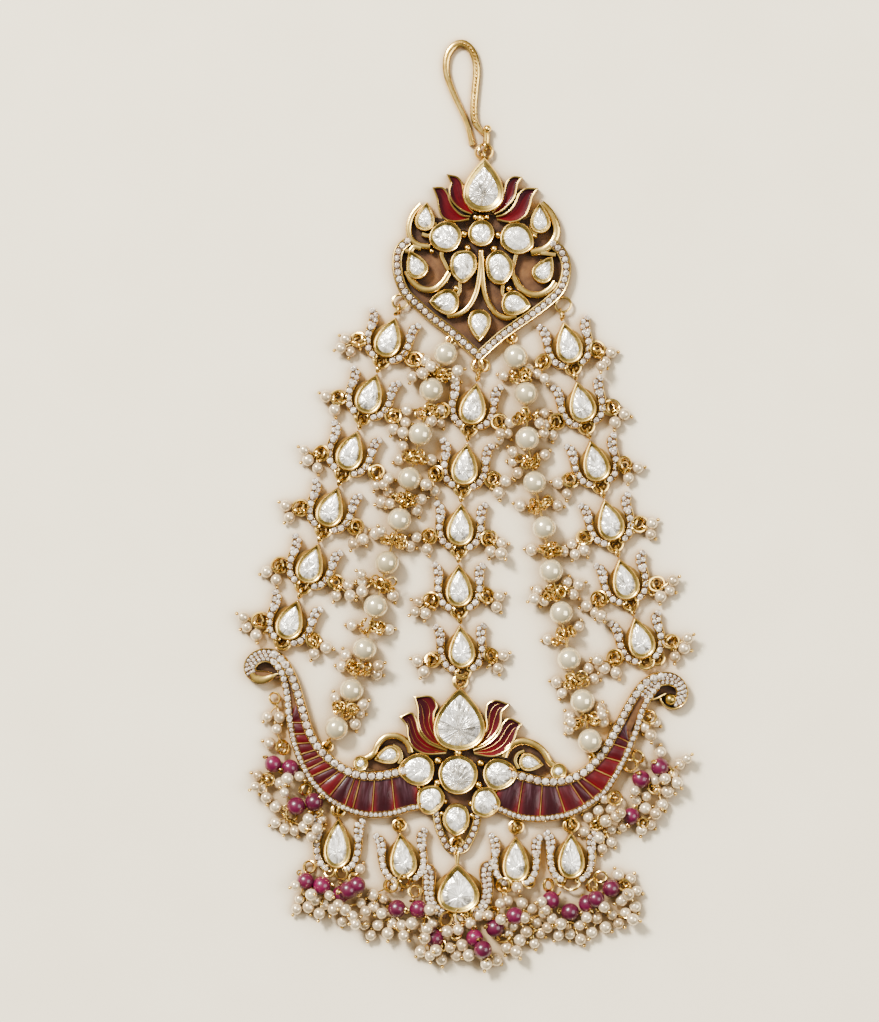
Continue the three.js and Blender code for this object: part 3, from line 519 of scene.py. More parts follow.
@dataclass(frozen=True)
class Jeweller:
    """Makes the forms that the whole piece repeats."""

    wire: float = 0.28
    fine_wire: float = 0.17
    seed_radius: float = 1.1
    prong: Shape = field(default_factory=lambda: ball(1.0, 7, 4, Coat.GOLD))
    pearl: Shape = field(default_factory=lambda: ball(1.0, 26, 15, Coat.PEARL))
    seed: Shape = field(default_factory=lambda: ball(1.0, 14, 8, Coat.SEED))
    ruby: Shape = field(default_factory=lambda: ball(1.0, 22, 12, Coat.RUBY))

    def bezel(self, outline: Outline, height: float, rim: float, bevel: float, sides: int = 48) -> Shape:
        """A setting's wall: a flared side, a rounded rim, and a bevel that runs down to the stone.

        Args:
            outline: the setting's plan.
            height: the rim's height.
            rim: the rim's width.
            bevel: the bevel's width.
            sides: how many sides the outline has.

        Returns:
            The wall, about the origin.
        """
        rows = [
            (-0.1, 0.0),
            (0.0, height * 0.55),
            (0.0, height - 0.26),
            (0.05, height - 0.1),
            (rim * 0.35, height),
            (rim * 0.7, height - 0.02),
            (rim, height - 0.16),
            (rim + bevel * 0.5, height - 0.3),
            (rim + bevel, height - 0.42),
            (rim + bevel + 0.25, height - 0.6),
        ]
        # The flared side takes the browner gold: painted shade.
        return layered(outline, rows, [Coat.WALL] * 2 + [Coat.GOLD] * 4 + [Coat.BEVEL] * 3, sides)

    def cut_stone(
        self, outline: Outline, inset: float, foot: float, rise: float, rng: np.random.Generator,
        coat: int = Coat.FOIL_SMALL
    ) -> Shape:
        """A flat hand-cut stone: a table and two rows of crown facets, all a little uneven.

        Args:
            outline: the plan of its setting.
            inset: how far the stone's edge is inside the setting's.
            foot: the height of its girdle.
            rise: how far the table stands above the girdle.
            rng: what makes it uneven.
            coat: the foil that lies under it.

        Returns:
            The stone, about the origin.
        """
        counts = (28, 14, 7)
        shares = (1.0, 0.84, 0.5)
        heights = (0.0, 0.66, 1.0)
        rings = []
        for count, share, height in zip(counts, shares, heights):
            plan = outline.ring(inset, count, share)
            jitter = 0.0 if share == 1.0 else 0.035 * outline.width
            plan = plan + rng.uniform(-jitter, jitter, plan.shape)
            z = foot + rise * height + rng.uniform(-0.1, 0.1, count) * rise * (height > 0)
            rings.append(np.column_stack([plan, z]))
        middle = np.append(outline.ring(inset, 28, 0.1).mean(0), foot + rise * 1.02)
        below = np.column_stack([outline.ring(inset + 0.1, 28), np.full(28, foot - 0.4)])
        points = np.vstack([below, *rings, middle])
        faces = []
        for k in range(28):
            after = (k + 1) % 28
            faces.append((k, after, 28 + after, 28 + k))
        offsets = [28, 56, 70, 77]
        for level in range(2):
            outer, inner, count = offsets[level], offsets[level + 1], counts[level + 1]
            for k in range(count):
                a, b, c = outer + 2 * k, outer + 2 * k + 1, outer + (2 * k + 2) % counts[level]
                p, q = inner + k, inner + (k + 1) % count
                faces += [(a, b, p), (b, q, p), (b, c, q)]
        faces += [(70 + k, 70 + (k + 1) % 7, 77) for k in range(7)]
        faces.append(tuple(range(27, -1, -1)))
        shape = Shape.of(points, faces, coat, smooth=False)
        half = np.array([outline.width, outline.length]) / 2
        local = np.column_stack([points[:, :2] / half, np.full(len(points), rng.uniform(0, 20))])
        return shape.marked(local)

    def brilliant(self) -> Shape:
        """A small round stone of radius 1 with eight crown facets round a table.

        Returns:
            The stone, with its girdle at height 0.
        """
        eight = 2 * np.pi * np.arange(8) / 8
        off = eight + np.pi / 8
        rows = [
            np.stack([0.96 * np.cos(off), 0.96 * np.sin(off), 0 * off - 0.35], 1),
            np.stack([np.cos(off), np.sin(off), 0 * off], 1),
            np.stack([0.8 * np.cos(eight), 0.8 * np.sin(eight), 0 * off + 0.2], 1),
            np.stack([0.46 * np.cos(off), 0.46 * np.sin(off), 0 * off + 0.38], 1),
        ]
        faces = []
        for k in range(8):
            n = (k + 1) % 8
            faces.append((k, n, 8 + n, 8 + k))
            faces += [(8 + k, 16 + n, 16 + k), (8 + k, 8 + n, 16 + n)]
            faces += [(16 + k, 16 + n, 24 + k), (16 + n, 24 + n, 24 + k)]
        faces.append(tuple(24 + k for k in range(8)))
        points = np.vstack(rows)
        return Shape.of(points, faces, Coat.PAVE, smooth=False).marked(
            np.column_stack([points[:, :2], 0 * points[:, 2]])
        )

    def pave(
        self, path: np.ndarray, pitch: float, radius: float, z: float, rng: np.random.Generator
    ) -> tuple[list, list]:
        """A row of small stones along a plan line, with two prong beads between neighbours.

        Args:
            path: the line's points.
            pitch: the distance between stones.
            radius: a stone's radius.
            z: the height of the girdles.
            rng: what turns and varies them.

        Returns:
            The stones and the prong beads.
        """
        count = max(2, round(length_of(path) / pitch) + 1)
        spots = resampled(path[:, :2], count)
        side = unit(sideways(spots, False))
        stone = self.brilliant()
        stones, prongs = [], []
        for k, spot in enumerate(spots):
            size = radius * rng.uniform(0.93, 1.04)
            tilt = aim([rng.normal(0, 0.07), rng.normal(0, 0.07), 1.0])
            matrix = tilt @ turn_about_z(rng.uniform(0, 360)) * size
            stones.append(stone.placed([*spot, z], matrix, seed=rng.uniform(0, 20)))
            if k + 1 < count:
                between = (spot + spots[k + 1]) / 2
                for way in (-1, 1):
                    at = between + way * side[k] * radius * 0.78
                    bead = rng.uniform(0.2, 0.27) * radius
                    prongs.append(self.prong.placed([*at, z + 0.12], np.eye(3) * bead))
        return stones, prongs

    def set_row(self, metal: list, stones: list, row: tuple[list, list], every: int = 1) -> None:
        """Adds a row made by pave to a casting, with all its prong beads or every second one."""
        stones += row[0]
        metal += row[1][::every]

    def coil(self, centre: np.ndarray, radius: float, normal: np.ndarray, wire: float) -> list[Shape]:
        """A ring with two smaller ones that lie lower inside it, in the browner gold: painted shade that
        darkens the ring's middle.
        """
        normal = np.asarray(normal, float)
        return [
            hoop(centre, radius, normal, wire, 22, 1.12),
            hoop(
                centre - [0.06, 0, 0.35], radius * 0.74, normal + [0.35, 0.1, 0.0], wire * 0.85, 16, 1.1,
                Coat.WALL
            ),
            hoop(
                centre - [0, 0.05, 0.6], radius * 0.45, normal + [-0.4, 0.2, 0.0], wire * 0.8, 12, 1.1,
                Coat.WALL
            ),
        ]

    def seed_on_pin(
        self, start: np.ndarray, way: np.ndarray, reach: float, radius: float, seed: float
    ) -> tuple[list, list]:
        """A seed pearl on a headpin that hangs from a loop.

        Args:
            start: the loop's middle.
            way: the pin's direction.
            reach: from the loop to the pearl's middle.
            radius: the pearl's radius.
            seed: what its colour varies by.

        Returns:
            The wires and the pearl.
        """
        way = unit(np.asarray(way, float))
        middle = np.asarray(start) + way * reach
        head = middle + way * (radius + 0.3)
        head[2] = max(head[2], 0.37)
        wires = [
            tube(np.array([np.asarray(start) + way * 0.4, head]), self.fine_wire * 0.8, 5),
            self.prong.placed(head, np.eye(3) * 0.36),
            hoop(np.asarray(start), 0.48, np.cross(way, [0.3, 0.2, 1.0]), self.fine_wire, 9),
        ]
        return wires, [self.seed.placed(middle, aim(way) * radius, seed=seed)]


@dataclass
class Crowd:
    """Remembers where beads and metal lie, so that the next bead comes to rest on the floor or on them."""

    rows: list = field(default_factory=list)
    touching: float = 0.94

    def add(self, x: float, y: float, z: float, radius: float) -> None:
        """Remembers a round thing."""
        self.rows.append((x, y, z, radius))

    def rest(self, x: float, y: float, radius: float) -> float:
        """The height of a bead's middle if it is let down at a place.

        Args:
            x: the place across.
            y: the place along.
            radius: the bead's radius.

        Returns:
            The height.
        """
        if not self.rows:
            return radius
        rows = np.array(self.rows)
        apart = np.hypot(rows[:, 0] - x, rows[:, 1] - y)
        touch = (rows[:, 3] + radius) * self.touching
        near = apart < touch
        if not near.any():
            return radius
        over = rows[near, 2] + np.sqrt(touch[near] ** 2 - apart[near] ** 2)
        return float(max(radius, over.max()))

    def settle(self, start: np.ndarray, ways: list[float], reach: float, radius: float) -> np.ndarray:
        """Chooses the lowest place for a bead that hangs from a point, and remembers it.

        Args:
            start: the point that it hangs from.
            ways: the directions in the plan to try, in degrees, best first.
            reach: how far it hangs.
            radius: its radius.

        Returns:
            Where its middle rests.
        """
        best, cost = None, math.inf
        for order, degrees in enumerate(ways):
            for extra in (0.0, 0.45, 0.9):
                x = start[0] + (reach + extra) * math.cos(math.radians(degrees))
                y = start[1] + (reach + extra) * math.sin(math.radians(degrees))
                z = self.rest(x, y, radius)
                price = z + 0.05 * order + 0.25 * extra
                if price < cost:
                    best, cost = np.array([x, y, z]), price
        self.add(*best, radius)
        return best


# Places


@dataclass(frozen=True)
class Photo:
    """Turns the photograph's pixels into millimetres of the part's frame."""

    scale: float = 0.19
    middle_x: float = 468.0
    middle_y: float = 507.0
    shift_x: float = 0.89
    shift_y: float = -0.95

    def at(self, *pixels: tuple[float, float]) -> np.ndarray:
        """The plan points of some pixels.

        Args:
            pixels: (x, y) pairs.

        Returns:
            One row for each pair.
        """
        rows = np.asarray(pixels, float)
        x = (rows[:, 0] - self.middle_x) * self.scale + self.shift_x
        y = (self.middle_y - rows[:, 1]) * self.scale + self.shift_y
        return np.stack([x, y], 1)


@dataclass(frozen=True)
class Setting:
    """A stone in its setting: its place and size in the photograph's pixels."""

    node: str
    x: float
    y: float
    width: float
    length: float
    point: float
    turn: float
    inset: float = 4.0
    wobble: float = 0.0
    height: float = 2.3


@dataclass
class Workshop:
    """What every sub-assembly needs: the way to places, the forms, the crowd of beads and the materials."""

    photo: Photo
    jeweller: Jeweller
    crowd: Crowd
    materials: list
    large_stone: float = 39.0
    widest_rim: float = 0.5
    stone_sink: float = 0.5
    stone_rise: float = 0.42
    smooth_angle: float = 42.0

    def piece(self, name: str, shapes: list[Shape], slot: Slot, nodes: tuple = ()) -> None:
        """Makes one piece of the object.

        Args:
            name: its name.
            shapes: what it is joined from.
            slot: the record's slot for it; not used.
            nodes: the nodes that it stands for.
        """
        if not shapes:
            return
        whole = Shape.joined(shapes)
        mesh = bpy.data.meshes.new(name)
        mesh.vertices.add(len(whole.points))
        mesh.vertices.foreach_set("co", (whole.points * MM).astype(np.float32).ravel())
        mesh.loops.add(len(whole.loops))
        mesh.loops.foreach_set("vertex_index", whole.loops.astype(np.int32))
        mesh.polygons.add(len(whole.sizes))
        starts = np.concatenate([[0], np.cumsum(whole.sizes)[:-1]])
        mesh.polygons.foreach_set("loop_start", starts.astype(np.int32))
        kinds, places = np.unique(whole.coats, return_inverse=True)
        mesh.polygons.foreach_set("material_index", places.astype(np.int32))
        mesh.polygons.foreach_set("use_smooth", whole.smooth.astype(bool))
        mesh.update(calc_edges=True)
        mark = mesh.attributes.new("local", "FLOAT_VECTOR", "POINT")
        mark.data.foreach_set("vector", whole.local.astype(np.float32).ravel())
        mesh.set_sharp_from_angle(angle=math.radians(self.smooth_angle))
        for kind in kinds:
            mesh.materials.append(self.materials[kind])
        made = bpy.data.objects.new(name, mesh)
        bpy.context.scene.collection.objects.link(made)
        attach(made, "root")
        if nodes:
            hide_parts(*nodes)
        triangles = int((whole.sizes - 2).sum())
        LOG.info("%s: %d triangles", name, triangles)

    def set_stone(self, setting: Setting, rng: np.random.Generator) -> tuple[list, list]:
        """A setting and its stone in their place.

        Args:
            setting: the row that says where and how big.
            rng: what makes the stone uneven.

        Returns:
            The metal and the stone.
        """
        scale = self.photo.scale
        plan = Outline(
            setting.width * scale, setting.length * scale, setting.point, setting.wobble, rng.uniform(0, 6)
        )
        whole_inset = setting.inset * scale
        rim = min(self.widest_rim, whole_inset * 0.5)
        bevel = whole_inset - rim
        at = np.append(self.photo.at((setting.x, setting.y))[0], 0.0)
        matrix = turn_about_z(setting.turn)
        wall = self.jeweller.bezel(plan, setting.height, rim, bevel)
        coat = Coat.FOIL if setting.width > self.large_stone else Coat.FOIL_SMALL
        girdle = setting.height - self.stone_sink
        stone = self.jeweller.cut_stone(plan, whole_inset - 0.05, girdle, self.stone_rise, rng, coat)
        return [wall.placed(at, matrix)], [stone.placed(at, matrix)]


def bar_section(width: float, height: float) -> tuple[list, list]:
    """The section and coats of a cast bar: sides in a browner gold, which is painted shade, and a rounded
    golden top.

    Args:
        width: the bar's width.
        height: its height.

    Returns:
        The (across, height) pairs and a coat for each side.
    """
    half = width / 2
    section = [
        (-half - 0.06, 0.0),
        (-half, height * 0.6),
        (-half, height - 0.22),
        (-half * 0.72, height - 0.04),
        (0.0, height + 0.02),
        (half * 0.72, height - 0.04),
        (half, height - 0.22),
        (half, height * 0.6),
        (half + 0.06, 0.0),
    ]
    return section, [Coat.WALL] + [Coat.GOLD] * 6 + [Coat.WALL] * 2


def channel_section(width: float, height: float, rim: float, depth: float = 0.22) -> tuple[list, list]:
    """The section and coats of a channel for small stones: a thin rim on each side of a sunk floor.

    Args:
        width: the channel's width.
        height: the height of its rims.
        rim: a rim's width.
        depth: how far its floor lies below the rims.

    Returns:
        The (across, height) pairs and a coat for each side.
    """
    half = width / 2
    section = [
        (-half - 0.06, 0.0),
        (-half, height * 0.5),
        (-half, height - 0.08),
        (-half + rim * 0.5, height),
        (-half + rim, height - 0.06),
        (-half + rim + 0.03, height - depth),
        (half - rim - 0.03, height - depth),
        (half - rim, height - 0.06),
        (half - rim * 0.5, height),
        (half, height - 0.08),
        (half, height * 0.5),
        (half + 0.06, 0.0),
    ]
    # The sunk floor takes the dark recess gold and the outer sides the browner gold: painted shade.
    coats = [Coat.WALL] + [Coat.GOLD] * 3 + [Coat.SHADED_RECESS] * 3 + [Coat.GOLD] * 3 + [Coat.WALL] * 2
    return section, coats


# The hook


@dataclass
class HairHook:
    """The hook at the top: a flat band bent into a loop, with a beaded face, a ball and two rings."""

    shop: Workshop
    band_width: float = 1.25
    band_height: float = 1.15
    route: tuple = (
        (472.5, 143.5), (469, 128), (463, 112), (455.5, 96), (449, 80), (446, 66), (448, 52),
        (455, 43), (463, 41), (470.5, 46), (475.5, 57), (476.8, 70), (475, 90), (473.8, 108), (475.5, 121),
        (481, 129), (486, 132.5),
    )
    beaded: tuple = (
        (461, 40.5), (469, 44.5), (474.6, 54), (476.8, 68), (475.6, 86), (474, 104), (474.6, 120),
    )
    ball_at: tuple = (487.6, 127.5)
    stub: tuple = ((485.6, 129.0), (486.6, 134.0), (486.2, 142.0))
    stub_size: tuple = (1.1, 1.5)
    ring_at: tuple = (484.0, 150.5)
    eye_at: tuple = (485.4, 145.0)
    eye_radius: float = 0.75
    wire_height: float = 1.08
    bead_radii: tuple = (0.3, 0.36)
    ball_radius: float = 0.78
    ball_height: float = 1.3
    ring_radii: tuple = (1.42, 1.3)
    ring_wires: tuple = (0.27, 0.22)
    points: int = 90

    def build(self) -> None:
        """Makes the hook and its ring."""
        photo, jeweller = self.shop.photo, self.shop.jeweller
        line = smooth_curve(photo.at(*self.route), self.points)
        section, coats = bar_section(self.band_width, self.band_height)
        run = np.linspace(0, 1, self.points)
        taper = np.interp(run, [0, 0.1, 0.35, 0.5, 0.9, 1], [0.9, 0.8, 0.95, 1.1, 1.0, 0.7])
        metal = [sweep(line, section, [Coat.GOLD] * len(coats), widths=taper)]
        beads = resampled(smooth_curve(photo.at(*self.beaded), 60), 24)
        for k, spot in enumerate(beads):
            size = self.bead_radii[k % 2]
            metal.append(jeweller.prong.placed([*spot, self.band_height + 0.02], np.eye(3) * size))
        ball_at = photo.at(self.ball_at)[0]
        metal.append(ball(self.ball_radius, 18, 10, Coat.GOLD).placed([*ball_at, self.ball_height]))
        metal.append(sweep(smooth_curve(photo.at(*self.stub), 8), *bar_section(*self.stub_size)))
        eye = np.append(photo.at(self.eye_at)[0], self.wire_height)
        metal.append(hoop(eye, self.eye_radius, [1.0, 0.1, 0.0], jeweller.wire))
        self.shop.piece("hair_hook_metal", metal, Slot.GOLD, ("hair_hook",))
        centre = np.append(photo.at(self.ring_at)[0], self.wire_height)
        (outer, inner), (thick, thin) = self.ring_radii, self.ring_wires
        rings = [
            hoop(centre, outer, [0.05, 0.0, 1.0], thick, 28, 1.12),
            hoop(centre + [0.35, 0.1, 0.1], inner, [0.5, 0.15, 1.0], thin, 28, 1.1),
        ]
        self.shop.piece("hook_ring_pair", rings, Slot.GOLD, ("hook_ring",))


# Lotus petals


@dataclass(frozen=True)
class Petal:
    """An enamelled petal between two edges that run from its foot to its tip, in pixels."""

    node: str
    left: tuple
    right: tuple


@dataclass
class Lotus:
    """The enamelled petals beside a teardrop."""

    shop: Workshop
    name: str
    petals: tuple
    height: float = 2.0
    wall: float = 0.3
    vein_shares: tuple = ()

    def build(self, rng: np.random.Generator) -> list[Shape]:
        """Makes the enamel pieces.

        Args:
            rng: what varies them.

        Returns:
            The petals' trays and walls, for the frame that carries them.
        """
        metal = []
        for petal in self.petals:
            left = smooth_curve(self.shop.photo.at(*petal.left), 36)
            right = smooth_curve(self.shop.photo.at(*petal.right), 36)
            base = self.height - 0.8
            # The trays' sides and the walls' sides take the browner gold: painted shade.
            tray = [(0, 0, 0), (0, 0, base), (1, 0, base), (1, 0, 0)]
            metal.append(ribbon(left, right, tray, [Coat.WALL, Coat.BEVEL, Coat.WALL, Coat.WALL]))
            outline = np.vstack([right, left[::-1][1:]])
            section = [(-self.wall / 2, 0.0), (-self.wall / 2, self.height - 0.08), (0.0, self.height)]
            section += [(self.wall / 2, self.height - 0.08), (self.wall / 2, 0.0)]
            coats = [Coat.WALL, Coat.GOLD, Coat.GOLD, Coat.WALL, Coat.WALL]
            metal.append(sweep(outline, section, coats, closed=False))
            metal += self.veins(left, right)
            self.shop.piece(f"{petal.node}_fill", [self.fill(left, right, rng)], Slot.ENAMEL, (petal.node,))
        return metal

    def veins(self, left: np.ndarray, right: np.ndarray) -> list[Shape]:
        """The fine golden veins along a petal.

        Args:
            left: the petal's left edge.
            right: its right edge.

        Returns:
            The veins.
        """
        lines = []
        for share in self.vein_shares:
            line = (left * share + right * (1 - share))[:31]
            depth = self.height - 0.18 - 0.3 * math.sin(share * math.pi)
            points = np.column_stack([line, np.full(len(line), depth)])
            lines.append(tube(points, np.linspace(0.08, 0.03, len(line)), 5, coat=Coat.WALL))
        return lines

    def fill(self, left: np.ndarray, right: np.ndarray, rng: np.random.Generator) -> Shape:
        """The enamel: a shallow trough, marked with the way along it and the signed way across.

        Args:
            left: the petal's left edge.
            right: its right edge.
            rng: what sets its mark.

        Returns:
            The enamel.
        """
        across = np.linspace(0, 1, 11)
        grid = np.empty((len(left), len(across) + 2, 3))
        local = np.zeros_like(grid)
        grid[:, 1:-1, :2] = right[:, None] + (left - right)[:, None] * across[None, :, None]
        grid[:, 1:-1, 2] = self.height - 0.2 - 0.3 * np.sin(across * np.pi)[None, :]
        local[:, 1:-1, 1] = (across * 2 - 1)[None, :]
        local[:, :, 0] = np.linspace(0, 1, len(left))[:, None]
        local[:, :, 2] = rng.uniform(0, 20)
        for column, edge in ((0, right), (-1, left)):
            grid[:, column, :2] = edge
            grid[:, column, 2] = self.height - 0.6
            local[:, column, 1] = 1.0 if column else -1.0
        return skin(grid, Coat.PETAL).marked(local.reshape(-1, 3))


# The crest


CREST_SETTINGS = (
    Setting("crest_top_stone", 483.7, 184.4, 42.0, 55.0, 1.0, -1.5, 6.2, 0.0, 2.5),
    Setting("crest_round_stone", 481.3, 232.8, 27.0, 27.0, 0.0, 0.0, 4.2, 0.01),
    Setting("crest_upper_stone_left", 445.3, 236.5, 31.5, 33.5, 0.12, 100.0, 4.2, 0.015),
    Setting("crest_upper_stone_right", 517.8, 238.6, 32.0, 36.0, 0.3, -118.0, 4.4, 0.02),
    Setting("crest_middle_stone_left", 463.3, 265.8, 27.5, 34.0, 0.15, 172.0, 4.0, 0.03),
    Setting("crest_middle_stone_right", 499.4, 267.5, 28.5, 35.5, 0.15, 188.0, 4.2, 0.03),
    Setting("", 425.3, 216.0, 20.5, 29.5, 1.0, -6.0, 3.8),
    Setting("", 540.2, 217.4, 21.0, 31.5, 1.0, 2.0, 3.8),
    Setting("", 415.4, 263.8, 22.5, 30.5, 1.0, 24.0, 4.0),
    Setting("", 544.8, 268.9, 22.0, 29.5, 0.9, -32.0, 4.0),
    Setting("", 443.9, 301.7, 26.5, 31.0, 0.8, 88.0, 4.2),
    Setting("", 516.4, 303.8, 25.5, 30.5, 0.7, -98.0, 4.2),
    Setting("", 479.4, 325.6, 24.0, 33.0, 0.85, 180.0, 4.2),
)
CREST_PETALS = (
    Petal("crest_inner_petal_left",
        ((471.5, 213.5), (462, 209.5), (454.5, 203), (450.3, 196), (449.3, 188.5), (451, 182),
         (447.6, 174.2)),
        ((473.6, 211.5), (468.8, 206.4), (465, 198), (463.2, 190), (461.8, 182.5), (457.3, 176.6),
         (447.6, 174.2))),
    Petal("crest_outer_petal_left",
        ((469, 218.8), (457, 220.8), (447, 219.4), (441, 214), (438.6, 206), (437, 197), (433.4, 187.2)),
        ((470.2, 216.2), (462, 214.8), (454.8, 208.6), (450.2, 201.5), (447.6, 193.5), (442.6, 187.4),
         (433.4, 187.2))),
    Petal("crest_inner_petal_right",
        ((492.2, 211.6), (498.2, 206), (502.4, 198), (504.6, 189.5), (507.2, 181), (513.2, 176.3),
         (521.6, 177)),
        ((494.6, 213.8), (502.2, 209.8), (509.6, 203), (514.6, 195.6), (516.2, 188.4), (517.4, 182.8),
         (521.6, 177))),
    Petal("crest_outer_petal_right",
        ((496.4, 216.4), (504, 214.2), (511.4, 208.4), (516, 201), (518.8, 194), (525.6, 188.4),
         (537.4, 188.2)),
        ((497.2, 219), (509, 221.4), (518.6, 219.8), (526, 213.8), (529.6, 205), (532, 196),
         (537.4, 188.2))),
)
CREST_PLATE = (
    (481, 212), (440, 217), (416, 209), (409, 232), (402, 248), (399, 264), (402, 281), (412, 296),
    (434, 314), (457, 332), (479, 351), (502, 331), (531, 311), (553, 292), (562, 278), (563, 262),
    (557, 246), (557, 226), (546, 206), (522, 219),
)
CREST_GAPS = (
    ((441, 191), (447, 186), (453, 192), (460, 204), (470, 214), (460, 217), (449, 210)),
    ((530, 191), (521, 187), (514, 192), (505, 204), (495, 214), (505, 217), (518, 210)),
)
CREST_BARS = (
    (1.0, 1.9,
     ((421, 203.8), (413.0, 213.2), (408.7, 226.0), (410.8, 237.8), (419.0, 244.4), (430, 246.2))),
    (0.8, 1.8, ((434.5, 222), (434.6, 228.5), (429, 235), (422, 233.5))),
    (1.25, 1.9,
     ((541.5, 202.6), (549.4, 210.4), (555.4, 221.3), (557.0, 232.3), (552.7, 241.9), (544.5, 248.8),
      (531, 251.8))),
    (0.8, 1.9, ((531.5, 223), (532, 230.5), (537, 234))),
    (1.0, 1.9, ((405, 250), (410, 250.6), (414, 246.4), (421, 247.4))),
    (1.1, 1.9,
     ((406.5, 270.5), (412.0, 280.6), (422.0, 288.4), (433.4, 288.9), (442.0, 283), (449.4, 272.0))),
    (1.1, 1.9,
     ((514.0, 276.0), (519.8, 286.8), (529.4, 293.5), (540.4, 294.0), (550.4, 288.4), (555.4, 281.7))),
    (0.8, 1.9, ((541, 252.4), (549, 253.6), (555.8, 254.4))),
    (0.8, 1.8, ((446, 246.5), (441.5, 254), (444.6, 262), (448.6, 270))),
    (0.8, 1.8, ((516.5, 254), (514.2, 262), (512.6, 270), (514.6, 278))),
    (0.95, 1.9,
     ((481.0, 250.0), (480.6, 262.7), (479.2, 277.2), (475.9, 292.7), (469, 306.0), (459.5, 313.6),
      (447.0, 315.6))),
    (0.95, 1.9,
     ((481.6, 256.0), (482.8, 277.2), (484.8, 292.7), (489.6, 305), (497.0, 313.8), (506, 317.4),
      (516.3, 315.6))),
    (0.7, 1.8, ((459.6, 282.0), (459.8, 290), (457.0, 296))),
    (0.7, 1.8, ((503.0, 284.0), (502.6, 292), (505.0, 298))),
)
CREST_BALLS = (
    (464, 233.5, 0.8), (498.6, 234.6, 0.8), (467.6, 247.4, 0.75), (494.4, 248.4, 0.75), (481, 217.8, 0.95),
    (475.4, 216.4, 0.6), (487.0, 216.6, 0.6), (431.6, 250.4, 0.55), (456.4, 288.0, 0.7),
    (509.4, 288.6, 0.7), (534.8, 235.4, 0.6), (433.8, 236.0, 0.5), (541.2, 252.6, 0.5),
    (480.8, 251.4, 0.6), (455.6, 314.0, 0.5), (502.6, 315.4, 0.5),
)
CREST_BAILS = (
    (400.2, 301.0, 1.35), (563.4, 304.2, 1.35), (480.4, 365.0, 1.2), (451.6, 339.6, 0.85),
    (511.8, 337.6, 0.85),
)
CREST_BORDER = (
    ((407.6, 240.6), (399.0, 249.5), (396.8, 263.9), (399.8, 280.3), (405.8, 292.7), (417.0, 303.8),
     (431, 316.6), (446.4, 327.8), (461.2, 340.0), (479.0, 356.2)),
    ((552.9, 243.0), (561.7, 251.5), (566.3, 265.2), (564.4, 280.3), (558.2, 292.4), (547.3, 302.6),
     (532.8, 313.8), (517.0, 324.6), (500.0, 337.0), (479.0, 356.2)),
)


@dataclass
class Crest:
    """The pierced crest: lotus, settings, scrolls, and the stone-set border that comes to a point."""

    shop: Workshop
    border_width: float = 1.85
    border_height: float = 2.0
    border_pitch: float = 1.32
    border_stone: float = 0.62
    border_rim: float = 0.25
    bar_widening: float = 1.1
    ball_height: float = 1.35
    plate_heights: tuple = (0.05, 0.3)
    bail_height: float = 1.08

    def build(self) -> None:
        """Makes the crest."""
        rng = np.random.default_rng(11)
        photo, jeweller = self.shop.photo, self.shop.jeweller
        metal = Lotus(self.shop, "crest", CREST_PETALS).build(rng)
        set_stones: list[Shape] = []
        for setting in CREST_SETTINGS:
            wall, stone = self.shop.set_stone(setting, rng)
            metal += wall
            if setting.node:
                self.shop.piece(f"{setting.node}_cut", stone, Slot.GLASS, (setting.node,))
            else:
                set_stones += stone
        for width, height, line in CREST_BARS:
            path = smooth_curve(photo.at(*line), 8 * len(line))
            metal.append(sweep(path, *bar_section(width * self.bar_widening, height)))
        for x, y, radius in CREST_BALLS:
            metal.append(ball(radius, 12, 7, Coat.GOLD).placed([*photo.at((x, y))[0], self.ball_height]))
        metal.append(self.back_plate())
        # Dark plates in the gaps beside the petals: painted shade.
        metal += [flat_plate(photo.at(*gap), *self.plate_heights) for gap in CREST_GAPS]
        section, coats = channel_section(self.border_width, self.border_height, self.border_rim)
        for line in CREST_BORDER:
            path = smooth_curve(photo.at(*line), 110)
            metal.append(sweep(path, section, coats))
            foot = self.border_height - 0.12
            row = jeweller.pave(path, self.border_pitch, self.border_stone, foot, rng)
            jeweller.set_row(metal, set_stones, row)
        metal += self.bails()
        self.shop.piece("crest_metal", metal, Slot.GOLD, ("crest_frame",))
        self.shop.piece("crest_small_stones", set_stones, Slot.GLASS)

    def back_plate(self) -> Shape:
        """The dark plate behind the middle stones and the crest's openings: painted shade, standing for the
        shaded table seen through them.

        Returns:
            The plate.
        """
        ring = smooth_curve(self.shop.photo.at(*CREST_PLATE), 90, closed=True)
        grid = np.array([np.column_stack([ring, np.full(90, z)]) for z in self.plate_heights])
        return skin(grid, Coat.SHADED_RECESS)

    def bails(self) -> list[Shape]:
        """The rings that the strands and the pearl strings hang from, and the eye at the tip.

        Returns:
            The rings.
        """
        photo, wire = self.shop.photo, self.shop.jeweller.wire
        made = []
        for x, y, radius in CREST_BAILS:
            spot = photo.at((x, y))[0]
            made.append(hoop([*spot, self.bail_height], radius, [0.0, 0.08, 1.0], wire * 0.95, 22, 1.1))
        for k in (-1, 1):
            spot = photo.at((480.4 + 3.4 * k, 364.6))[0]
            made.append(hoop([*spot, 1.2], 1.05, [0.75 * k, 0.0, 1.0], wire * 0.9, 20, 1.25))
        tip = np.append(photo.at((484.1, 153.5))[0], 1.1)
        made.append(hoop(tip, 0.8, [1.0, 0.0, 0.0], wire))
        return made


# Links of the strands, and the drops


# What a link's body is for the beads that come to rest on it: (x, y, radius) about its setting's middle.
LINK_BODY = (
    (0, 0, 2.6), (0, -2, 2.4), (3.0, -1, 1.3), (-3.0, -1, 1.3), (3.6, 1.5, 1.1), (-3.6, 1.5, 1.1),
    (2, -3.4, 1.2), (-2, -3.4, 1.2),
)


